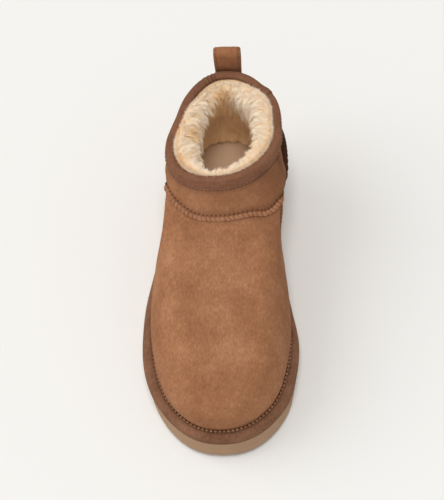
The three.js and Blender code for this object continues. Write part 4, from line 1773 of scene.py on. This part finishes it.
@dataclass
class Counter:
    """The heel counter: a panel with a thick ribbed edge along its top."""

    bench: Bench
    thickness: float = 1.7
    rib_width: float = 5.0
    rib_rise: float = 3.6
    sink: float = 0.3
    front: float = 0.314
    far: float = 0.955
    foot_level: float = 0.06
    columns: int = 384
    rows: int = 40
    arc: int = 15
    ribs: int = 96
    stitches: int = 15
    stitch_length: float = 2.0
    stitch_radius: float = 0.38
    stitch_places: tuple[float, float] = (0.022, 0.978)
    stitch_height: float = 2.1
    edge: Table = Table((0.06, 0.2, 0.32, 0.44), way=(0.29, 0.302, 0.31, 0.314))
    top: Table = Table((0.314, 0.328, 0.35, 0.42, 0.5), level=(0.44, 0.565, 0.635, 0.66, 0.665))

    @property
    def rib_levels(self) -> float:
        """The rib's width as a step of level."""
        last = self.bench.last
        return self.rib_width / (last.front_height - last.feather)

    def place(self, share: Array, rise: Array) -> tuple[Array, Array]:
        """Level and way of the panel by shares round and up to the rib's foot.

        Args:
            share: From the inner front edge round to the outer.
            rise: From the panel's foot to the rib's foot.

        Returns:
            The level and the way.
        """
        way = mix(self.front, self.far - self.front, share)
        crest = self.top.read("level", np.minimum(way, 1 - way))
        level = mix(self.foot_level, crest - self.rib_levels, rise)
        start = self.edge.read("way", level)
        return level, mix(start, self.far - start, share)

    def build(self) -> Shape:
        """Builds the panel, its turned edges and the ribs across its top edge.

        Returns:
            The closed shape.
        """
        last = self.bench.last
        share = np.linspace(0, 1, self.columns)[:, None]
        rises = np.linspace(0, 1, self.rows)[None]
        level, way = self.place(share, rises)
        thick = last.gap + self.thickness
        fringe = ease(0, 0.012, share) * ease(1, 0.988, share)
        body = mix(0.8, thick, np.sqrt(fringe)) * ease(-0.03, 0.02, rises)
        waves = 0.5 * Noise(31).layers(last.face(level, way), 30, 2)
        face = last.off(level, way, np.maximum(body, 0.6) + waves * fringe)
        crest, round_way = self.place(share, np.ones((1, 1)))
        turns = np.linspace(0, np.pi, self.arc)[None]
        ribs = np.abs(np.sin(np.pi * share * self.ribs + 0.5 * turns)) ** 0.6
        up = crest + self.rib_levels * back_share(turns)
        rise = self.rib_rise * (1 - 0.45 * ease(0.25, 0.45, share)) * ease(1.0, 0.93, share)
        rise = rise * ease(-0.01, 0.02, share)
        high = thick + rise * (0.62 + 0.38 * ribs) * np.sin(turns) ** 0.6
        edge = last.off(up, round_way, high)
        back_levels = np.concatenate([up[:, -1:], level[:, ::-6]], axis=1)
        back_ways = np.concatenate([round_way, way[:, ::-6]], axis=1)
        back = last.off(back_levels, back_ways, -self.sink)
        points = np.concatenate([face, edge, back], axis=1)
        # Painted shade: under the rib and along the panel's front edges; over the whole rib, most
        # at its inner front end and between the ribs; and on the hidden back.
        dark_face = 0.4 * ease(0.95, 1.0, rises) + 0.3 * ease(0.012, 0.004, share)
        dark_rib = 0.35 + 0.6 * ease(0.34, 0.2, share) + 0.25 * ease(0.75, 0.2, ribs)
        crease = np.concatenate([dark_face, dark_rib, np.ones(back.shape[:2])], axis=1)
        return Shape.grid(points, crease=crease).capped(points.shape[1]).turned_out()

    def sew(self) -> Shape:
        """Builds the stitches down both front edges of the panel.

        Returns:
            The joined stitches.
        """
        last = self.bench.last
        rises, shapes = np.linspace(0.04, 0.93, self.stitches), []
        for side in self.stitch_places:
            here, ahead = self.place(side, rises), self.place(side, rises + 0.02)
            centres = last.off(*here, self.stitch_height)
            along = last.off(*ahead, self.stitch_height) - centres
            out = last.normal(*here)
            shapes.append(capsules(centres, along, out, self.stitch_length, self.stitch_radius))
        return Shape.joined(shapes)

    def dress(self) -> bpy.types.Object:
        """Writes the counter and its stitches.

        Returns:
            The panel.
        """
        bench, finishes = self.bench, self.bench.finishes
        suede = finishes.suede("counter_suede_chestnut", COUNTER_SUEDE)
        piece = bench.piece("heel_panel", self.build(), suede, "counter_suede", "heel_counter")
        thread = finishes.thread("counter_thread_tan", PALE_THREAD)
        bench.piece("heel_panel_stitches", self.sew(), thread, "counter_suede")
        return piece


@dataclass
class PullLoop:
    """The tape folded into a loop behind the collar, sewn along both edges."""

    bench: Bench
    width: float = 20.0
    rise: float = 20.0
    root: float = 15.0
    loop_gap: float = 5.6
    tape: float = 1.7
    steps: int = 130
    columns: int = 33
    seam_place: float = 0.845
    droop: float = 0.7
    stitch_pitch: float = 2.7
    stitch_length: float = 1.8
    stitch_radius: float = 0.3
    stitch_height: float = 0.68

    def line(self) -> tuple[Array, Array]:
        """The middle line of the tape and the run along it.

        Returns:
            Y and Z of its points, and the run at each.
        """
        last = self.bench.last
        start = last.off_collar(0.0, 0.5, 2 * last.gap + self.tape + 0.7)[1]
        top = last.back_height + self.rise
        bow = self.loop_gap / 2
        middle, radius = start + self.tape + bow, bow + self.tape / 2
        root, spring = last.back_height - self.root, top - bow - self.tape
        angles = np.pi * (1 - np.linspace(0, 1, 13))
        straight = np.linspace(root, spring, 16)[:-1]
        arc_y = middle + radius * np.cos(angles)
        arc_z = spring + radius * np.sin(angles)
        back = start + 1.5 * self.tape + self.loop_gap - 0.2
        sewn = start + 1.5 * self.tape + last.gap
        down = Table(
            (0, 1, 2, 3),
            y=(arc_y[-1], back, sewn + 0.25 * self.tape, sewn),
            z=(arc_z[-1], last.back_height + 6, last.back_height - 5, root),
        )
        steps = np.linspace(0, 3, 20)[1:]
        front = np.full(len(straight), start + self.tape / 2)
        y = np.concatenate([front, arc_y, down.read("y", steps)])
        z = np.concatenate([straight, arc_z, down.read("z", steps)])
        run = run_along(np.stack([y, z], axis=-1))
        fine = np.linspace(0, run[-1], self.steps)
        return np.stack([np.interp(fine, run, y), np.interp(fine, run, z)], axis=-1), fine

    def frame_at(self) -> tuple[Array, Array, Array, Array]:
        """Line, normal, run and the tape's half width along it.

        Returns:
            The four of them, point by point.
        """
        line, run = self.line()
        along = unit(np.gradient(line, axis=0))
        normal = np.stack([-along[:, 1], along[:, 0]], axis=-1)
        pinch = 1 - 0.045 * ease(26, 8, run) - 0.02 * ease(60, 80, run)
        return line, normal, run, self.width / 2 * pinch

    def build(self) -> Shape:
        """Builds the folded tape with soft edges and sewn channels.

        Returns:
            The closed shape.
        """
        last = self.bench.last
        lean = last.face(1.0, 0.5)[0]
        line, normal, run, half = self.frame_at()
        there = np.linspace(-1, 1, self.columns)
        across = np.concatenate([there, there[::-1]])
        side, out = np.repeat([1.0, -1.0], self.columns), np.abs(across)
        soft = (1 - out**9) ** 0.5
        thick = (self.tape / 2 - 0.22 * hill(out, self.seam_place, 0.05)) * soft
        x = lean + across * half[:, None]
        middle = np.stack([x, *(np.broadcast_to(c[:, None], x.shape) for c in line.T)], axis=-1)
        off = side * thick + 0.125 * Noise(41).layers(middle, 9, 2)
        y = line[:, :1] + normal[:, :1] * off
        z = line[:, 1:] + normal[:, 1:] * off - self.droop_at(out, run[:, None])
        # Painted shade in the sewn channels, on the tape's edges and at its root below the
        # binding.
        crease = 0.8 * hill(out, self.seam_place, 0.07) + 0.55 * (out > 0.95)
        base = 0.5 * ease(22, 14, run)[:, None]
        points = np.stack([x, y, z], axis=-1)
        return Shape.grid(points, crease=crease + base).capped(len(across)).turned_out()

    def droop_at(self, out: Array, run: Array) -> Array:
        """How far the tape's edges hang down at the fold."""
        return self.droop * out**3 * ease(20, 38, run)

    def sew(self) -> Shape:
        """Builds the stitches along both edges, on the front and the back.

        Returns:
            The joined stitches.
        """
        last = self.bench.last
        lean = last.face(1.0, 0.5)[0]
        line, normal, run, half = self.frame_at()
        at = np.arange(2.0, run[-1] - 2.0, self.stitch_pitch)
        y, z, out_y, out_z, half = (
            np.interp(at, run, column) for column in (*line.T, *normal.T, half)
        )
        out = np.stack([0 * at, out_y, out_z], axis=-1)
        z = z - self.droop_at(self.seam_place, at)
        shapes = []
        for side in (-self.seam_place, self.seam_place):
            centres = np.stack([lean + side * half, y, z], axis=-1)
            along = np.gradient(centres, axis=0)
            centres = centres + out * self.stitch_height
            shapes.append(capsules(centres, along, out, self.stitch_length, self.stitch_radius))
        return Shape.joined(shapes)

    def dress(self) -> bpy.types.Object:
        """Writes the loop and its stitches.

        Returns:
            The tape.
        """
        bench, finishes = self.bench, self.bench.finishes
        suede = finishes.suede("loop_suede_brown", LOOP_SUEDE)
        piece = bench.piece("pull_tape", self.build(), suede, "loop_suede", "pull_loop")
        thread = finishes.thread("loop_thread_brown", LOOP_THREAD)
        bench.piece("pull_tape_stitches", self.sew(), thread, "loop_suede")
        return piece


@dataclass
class Fleece:
    """The wool lining: a soft bed and the wisps that grow on it in locks."""

    SEED = 60
    SIDES = 3

    bench: Bench
    pile: float = 18.0
    wisps: int = 14000
    locks: int = 460
    fringe: int = 2200
    lie: float = 0.17
    stray_share: float = 0.06
    root_share: float = 0.66
    bed_share: float = 0.74
    radii: tuple[float, float] = (0.15, 0.31)
    skin: float = 2.7
    rim_skin: float = 2.0
    roll_end: float = 0.32
    sink: float = 0.87
    rear_drop: float = 4.2
    columns: int = 260
    rows: tuple[int, int] = (46, 64)
    rows_back: int = 16
    up_wall: Table = Table((0, 0.25, 0.5, 0.75, 1), depth=(0.26, 0.32, 0.55, 0.85, 1.0))
    round_wall: Table = Table(
        (0, 0.1, 0.25, 0.4, 0.5, 0.6, 0.7, 0.79, 0.88, 1),
        depth=(0.22, 0.62, 0.94, 0.84, 0.5, 0.6, 0.8, 1.06, 1.38, 0.22),
    )
    roll: Table = Table(
        (0, 0.08, 0.16, 0.24, 0.32, 1),
        across=(0.1, 0.24, 0.5, 0.78, 0.96, 1.0),
        rise=(0.06, 0.19, 0.24, 0.15, -0.05, -3.0),
    )

    def depth(self, level: Array, way: Array) -> Array:
        """Depth of the pile's face inside the upper's face."""
        round_factor = mix(1.0, self.round_wall.read("depth", wrapped(way)), level)
        return self.skin + self.pile * self.up_wall.read("depth", level) * round_factor

    def back_depth(self, level: Array) -> Array:
        """Depth of the pile's back, which steps in under the binding."""
        return self.skin + self.rim_skin * ease(0.84, 0.885, level)

    def face(self, run: Array, way: Array, share: float = 1.0) -> Array:
        """The pile's face, from the binding over the roll and down to the insole.

        Args:
            run: From 0 at the binding to 1 at the insole.
            way: Round the ring.
            share: Share of the pile's full depth.

        Returns:
            The points.
        """
        last = self.bench.last
        run, way = np.broadcast_arrays(np.asarray(run, float), np.asarray(way, float))
        over = np.minimum(run, self.roll_end)
        across = self.roll.read("across", over)
        down = np.maximum(run - self.roll_end, 0) / (1 - self.roll_end)
        level = 1 - 0.055 * ease(0.2, self.roll_end, run) - down * self.sink
        depth = mix(self.back_depth(level), self.depth(level, way), across * share)
        points = last.off(level, way, -depth)
        turn = wrapped(way)
        low = ease(0.35, 0.45, turn) * ease(0.72, 0.63, turn)
        rise = self.roll.read("rise", over) * self.pile * (0.4 + 0.6 * share)
        rise = rise * (1 - low) * (1 - 0.6 * hill(around(way, 0), 0, 0.12))
        points[..., 2] += rise * ease(0.34, 0.24, run) - self.rear_drop * low * ease(0.5, 0.2, run)
        return points

    def outward(self, run: Array, way: Array) -> Array:
        """Direction out of the pile's face.

        Args:
            run: From 0 at the binding to 1 at the insole.
            way: Round the ring, from 0 in front.

        Returns:
            Unit vectors.
        """
        d = 0.006
        along = self.face(np.clip(run + d, 0, 1), way) - self.face(np.clip(run - d, 0, 1), way)
        turn = self.face(run, way + d) - self.face(run, way - d)
        return unit(np.cross(turn, along))

    def warmth(self, points: Array, run: Array, way: Array) -> Array:
        """How golden the wool is: in soft patches and marks, and painted shade down the back wall.

        Args:
            points: Points of the wool.
            run: From 0 at the binding to 1 at the insole.
            way: Round the ring, from 0 in front.

        Returns:
            From 0, cream, to 1, golden.
        """
        patches = ease(0.05, 0.8, Noise(51).layers(points, 20, 2))
        pale = 1 - 0.85 * hill(around(way, 0.29), 0, 0.13)
        # Painted shade: golden brown down the back wall.
        rear_shade = hill(around(way, 0.54), 0, 0.065) * ease(0.06, 0.2, run)
        streak = hill(around(way, 0.757), 0, 0.02) * ease(0.24, 0.08, run)
        corner = hill(around(way, 0.885), 0, 0.035) * ease(0.16, 0.03, run)
        marks = 0.5 * patches * pale + 0.8 * (streak + corner)
        return marks * ease(-0.02, 0.03, run) + rear_shade

    def shade(self, run: Array, way: Array) -> Array:
        """Painted shade where the wool hangs over the heel, and a brown streak on the outer side.
        """
        streak = hill(around(way, 0.757), 0, 0.02) * ease(0.3, 0.1, run) * ease(0.02, 0.06, run)
        return hill(around(way, 0.545), 0, 0.052) * ease(0.04, 0.13, run) + 0.85 * streak

    def bed(self) -> Shape:
        """Builds the bed under the wisps, lumpy as locks are, and its back.

        Returns:
            The closed shape.
        """
        over, down = self.rows
        runs = np.concatenate([np.linspace(0, 0.36, over), np.linspace(0.37, 1, down)])
        ways = ways_of(self.columns)
        run, way = np.meshgrid(runs, ways, indexing="ij")
        points = self.face(run, way, self.bed_share)
        lump = Noise(52).layers(points * np.array([1, 1, 0.55]), 5.0, 3)
        points = points + self.outward(run, way) * (1.5 * lump - 0.6)[..., None]
        # Paler on the lumps and at the rim; painted shade darker deeper down and where the wool
        # hangs over the heel.
        reach = 0.34 + 0.3 * lump + 0.25 * ease(0.6, 0.1, run) - 0.3 * self.shade(run, way)
        reach = reach + 0.35 * ease(0.12, 0.02, run)
        warm = self.warmth(points, run, way)
        levels = np.linspace(0.075, 0.985, self.rows_back)
        level, turn = np.meshgrid(levels, ways, indexing="ij")
        back = self.bench.last.off(level, turn, -self.back_depth(level) - 0.05)
        points = np.concatenate([points, back])
        zero = np.zeros(back.shape[:2])
        return Shape.grid(
            points,
            wrap_rows=True,
            reach=np.concatenate([reach, zero]),
            tone=np.concatenate([warm, zero]),
        ).turned_out()

    def wisps_of(self, side: Side) -> Shape:
        """Grows the wisps of one quarter, gathered into locks that lie inwards and down.

        Args:
            side: The quarter, by the way at its middle.

        Returns:
            The joined wisps, closed and tapered.
        """
        rng = np.random.default_rng(self.SEED + int(side.value * 4))
        lock_way = side.value + rng.uniform(-0.127, 0.127, self.locks)
        lock_run = rng.uniform(0.0, 1.0, self.locks) ** 1.3 - 0.05
        own = rng.integers(0, self.locks, self.wisps)
        spread = rng.normal(0, 1, (self.wisps, 2))
        run = np.clip(lock_run[own] + spread[:, 0] * 0.024, 0.001, 0.95)
        way = lock_way[own] + spread[:, 1] * 0.0075
        fringe = np.arange(self.wisps) < self.fringe
        run = np.where(fringe, rng.uniform(0, 0.1, self.wisps), run)
        way = np.where(fringe, side.value + rng.uniform(-0.126, 0.126, self.wisps), way)
        root = self.face(run, way, self.root_share)
        out = self.outward(run, way)
        lie = self.lie * rng.uniform(0.75, 1.2, self.locks)
        end_run = np.clip(lock_run + lie, 0, 0.99)
        end_way = lock_way + rng.normal(0, 0.006, self.locks)
        length = 4.0 + 2.4 * hill(around(lock_way, 0.7), 0, 0.14)
        lock_long = rng.uniform(0.2, 1.0, self.locks) * length * ease(0.9, 0.5, end_run)
        lock_tip = self.face(end_run, end_way)
        lock_tip = lock_tip + self.outward(end_run, end_way) * lock_long[:, None]
        lock_tip = lock_tip + rng.normal(0, 0.8, (self.locks, 3))
        own_run = np.clip(run + lie[own] * rng.uniform(0.6, 1.1, self.wisps), 0, 0.99)
        free_tip = self.face(own_run, way) + out * rng.uniform(-0.5, 1.2, self.wisps)[:, None]
        pull = rng.uniform(0.5, 0.97, self.wisps)[:, None]
        tip = mix(free_tip, lock_tip[own], pull) + rng.normal(0, 0.4, (self.wisps, 3))
        bend = self.face(mix(run, own_run, 0.45), way)
        bend = bend + out * rng.uniform(0.4, 2.2, self.wisps)[:, None]
        bend = bend + rng.normal(0, 0.35, (self.wisps, 3))
        stray = (rng.uniform(0, 1, self.wisps) < self.stray_share) | fringe
        edge = self.bench.last.face(1.0, way) - self.face(0.2, way)
        fly = unit(out + rng.normal(0, 0.5, (self.wisps, 3)))
        fly = unit(fly + unit(edge) * ease(0.07, 0.0, run)[:, None])
        start = self.face(run, way, 0.9)
        risen = start + fly * rng.uniform(0.4, 1.4, (self.wisps, 1))
        bend = np.where(fringe[:, None], risen, bend)
        flown = bend + fly * rng.uniform(1.2, 3.2, (self.wisps, 1))
        tip = np.where(stray[:, None], flown, tip)
        radius = rng.uniform(*self.radii, self.wisps) * np.where(stray, 0.55, 1.0)
        along = unit(tip - root)
        across = unit(np.cross(along, rng.normal(0, 1, (self.wisps, 3))))
        ring = circle(across, np.cross(along, across), self.SIDES)
        lock_tone = rng.uniform(-0.22, 0.18, self.locks)
        tone = self.warmth(root, run, way) + lock_tone[own] + rng.uniform(-0.1, 0.1, self.wisps)
        # Painted shade: wisps deep in the boot are drawn darker and more golden.
        deep = ease(0.3, 0.62, run)
        reach = (1 - 0.62 * self.shade(run, way)) * (1 - 0.5 * deep)
        middle = 0.25 * root + 0.5 * bend + 0.25 * tip
        return self.tapers((root, middle, tip), ring, radius, reach, tone + 0.8 * deep)

    def tapers(
        self,
        spine: tuple[Array, Array, Array],
        ring: Array,
        radius: Array,
        reach: Array,
        tone: Array,
    ) -> Shape:
        """Builds three-sided wisps that come to a point.

        Args:
            spine: Root, middle and tip of each wisp.
            ring: The directions of its three edges.
            radius: Half its thickness.
            reach: How pale its tip is.
            tone: How golden it is.

        Returns:
            The joined wisps.
        """
        sides, (root, middle, tip) = self.SIDES, spine
        thick = radius[:, None] * np.array([0.9, 1.0])
        body = np.stack([root, middle], axis=1)[:, :, None]
        body = body + ring[:, None] * thick[..., None, None]
        points = np.concatenate([body.reshape(len(tip), -1, 3), tip[:, None]], axis=1)
        start = (np.arange(len(tip)) * points.shape[1])[:, None, None]
        turn = [(k, (k + 1) % sides) for k in range(sides)]
        quads = np.array([[a, b, sides + b, sides + a] for a, b in turn])
        caps = np.array([*[[sides + a, sides + b, 2 * sides] for a, b in turn], [2, 1, 0]])
        pale = np.repeat([0.12, 0.7, 1.0], [sides, sides, 1])[None] * reach[:, None]
        return Shape(
            points.reshape(-1, 3),
            [(quads[None] + start).reshape(-1, 4), (caps[None] + start).reshape(-1, 3)],
            {"reach": pale.ravel(), "tone": np.repeat(tone, points.shape[1])},
        ).turned_out()

    def dress(self) -> bpy.types.Object:
        """Writes the bed and the wisps of each quarter.

        Returns:
            The bed.
        """
        bench, finishes = self.bench, self.bench.finishes
        bed_wool = finishes.wool("fleece_bed_cream", FLEECE, raised=True)
        wisp_wool = finishes.wool("fleece_wisp_cream", FLEECE, raised=False)
        piece = bench.piece("fleece_bed", self.bed(), bed_wool, "fleece", "fleece_lining")
        for side in Side:
            name = f"fleece_wisps_{side.name.lower()}"
            bench.piece(name, self.wisps_of(side), wisp_wool, "fleece", smooth=False)
        return piece


@dataclass
class Insole:
    """The insole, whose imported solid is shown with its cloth."""

    bench: Bench

    def dress(self) -> bpy.types.Object:
        """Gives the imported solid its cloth.

        Returns:
            The insole.
        """
        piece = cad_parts["insole"]
        cloth = self.bench.finishes.suede("insole_cloth_taupe", INSOLE_CLOTH)
        piece.data.materials.clear()
        piece.data.materials.append(cloth)
        return piece


@dataclass(frozen=True)
class Studio:
    """The pale floor, the soft lights and the camera."""

    place: tuple[float, float, float] = (0.061, -0.4084, 0.862)
    target: tuple[float, float, float] = (0.0015, 0.0051, 0.0625)
    roll: float = -7.6
    lens: float = 87.1
    floor_reach: float = 6.0
    surround: tuple[float, float, float, float] = (1.0, 0.995, 0.985, 1.0)
    surround_strength: float = 0.44

    def floor(self, finishes: Finishes) -> None:
        """Lays a wide plain floor.

        Args:
            finishes: Makes the floor's material.
        """
        reach = self.floor_reach
        mesh = bpy.data.meshes.new("studio_floor")
        corners = [(-reach, -reach, 0), (reach, -reach, 0), (reach, reach, 0), (-reach, reach, 0)]
        mesh.from_pydata(corners, [], [(0, 1, 2, 3)])
        mesh.materials.append(finishes.plain("studio_paper", PAPER, 0.95))
        floor = bpy.data.objects.new("studio_floor", mesh)
        bpy.context.scene.collection.objects.link(floor)

    def lamp(self, name: str, place: Sequence[float], size: float, power: float) -> None:
        """Hangs a square soft light that faces the boot.

        Args:
            name: The lamp's name.
            place: Where it hangs, in metres.
            size: Length of its side.
            power: Its power, in watts.
        """
        light = bpy.data.lights.new(name, "AREA")
        light.size, light.energy = size, power
        made = bpy.data.objects.new(name, light)
        made.location = place
        made.rotation_mode = "QUATERNION"
        aim = Vector(place) - Vector((0, 0, 0.05))
        made.rotation_quaternion = aim.to_track_quat("Z", "Y")
        bpy.context.scene.collection.objects.link(made)

    def light(self) -> None:
        """Sets the lights and a pale surround."""
        self.lamp("key_light", (-6.0, 0.6, 5.6), 7.0, 245.0)
        self.lamp("top_light", (0.2, -1.0, 5.4), 1.5, 125.0)
        world = bpy.data.worlds.new("pale_surround")
        world.use_nodes = True
        background = world.node_tree.nodes["Background"]
        background.inputs["Color"].default_value = self.surround
        background.inputs["Strength"].default_value = self.surround_strength
        bpy.context.scene.world = world
        bpy.context.scene.view_settings.view_transform = "Standard"

    def camera(self) -> None:
        """Sets the camera at the viewing angle."""
        data = bpy.data.cameras.new("view_camera")
        data.lens, data.clip_start, data.clip_end = self.lens, 0.01, 30.0
        made = bpy.data.objects.new("view_camera", data)
        aim = Vector(self.target) - Vector(self.place)
        turn = aim.to_track_quat("-Z", "Y").to_matrix().to_4x4()
        roll = Matrix.Rotation(math.radians(self.roll), 4, "Z")
        made.matrix_world = Matrix.Translation(self.place) @ turn @ roll
        bpy.context.scene.collection.objects.link(made)
        bpy.context.scene.camera = made

    def set_up(self, finishes: Finishes) -> None:
        """Builds the whole studio.

        Args:
            finishes: Makes the materials.
        """
        self.floor(finishes)
        self.light()
        self.camera()


def main() -> None:
    """Builds the boot piece by piece and sets up the studio."""
    logging.basicConfig(level=logging.INFO, format="%(name)s: %(message)s")
    finishes = Finishes()
    bench = Bench(Last(), finishes)
    body = (SoleUnit, SoleBand, Upper, InstepSeam, Counter)
    trim = (Binding, PullLoop, Fleece, Insole)
    for kind in body + trim:
        piece = kind(bench).dress()
        LOG.info("dressed %s", piece.name)
    LOG.info("%d triangles in all", bench.triangles)
    Studio().set_up(finishes)


if __name__ == "__main__":
    main()
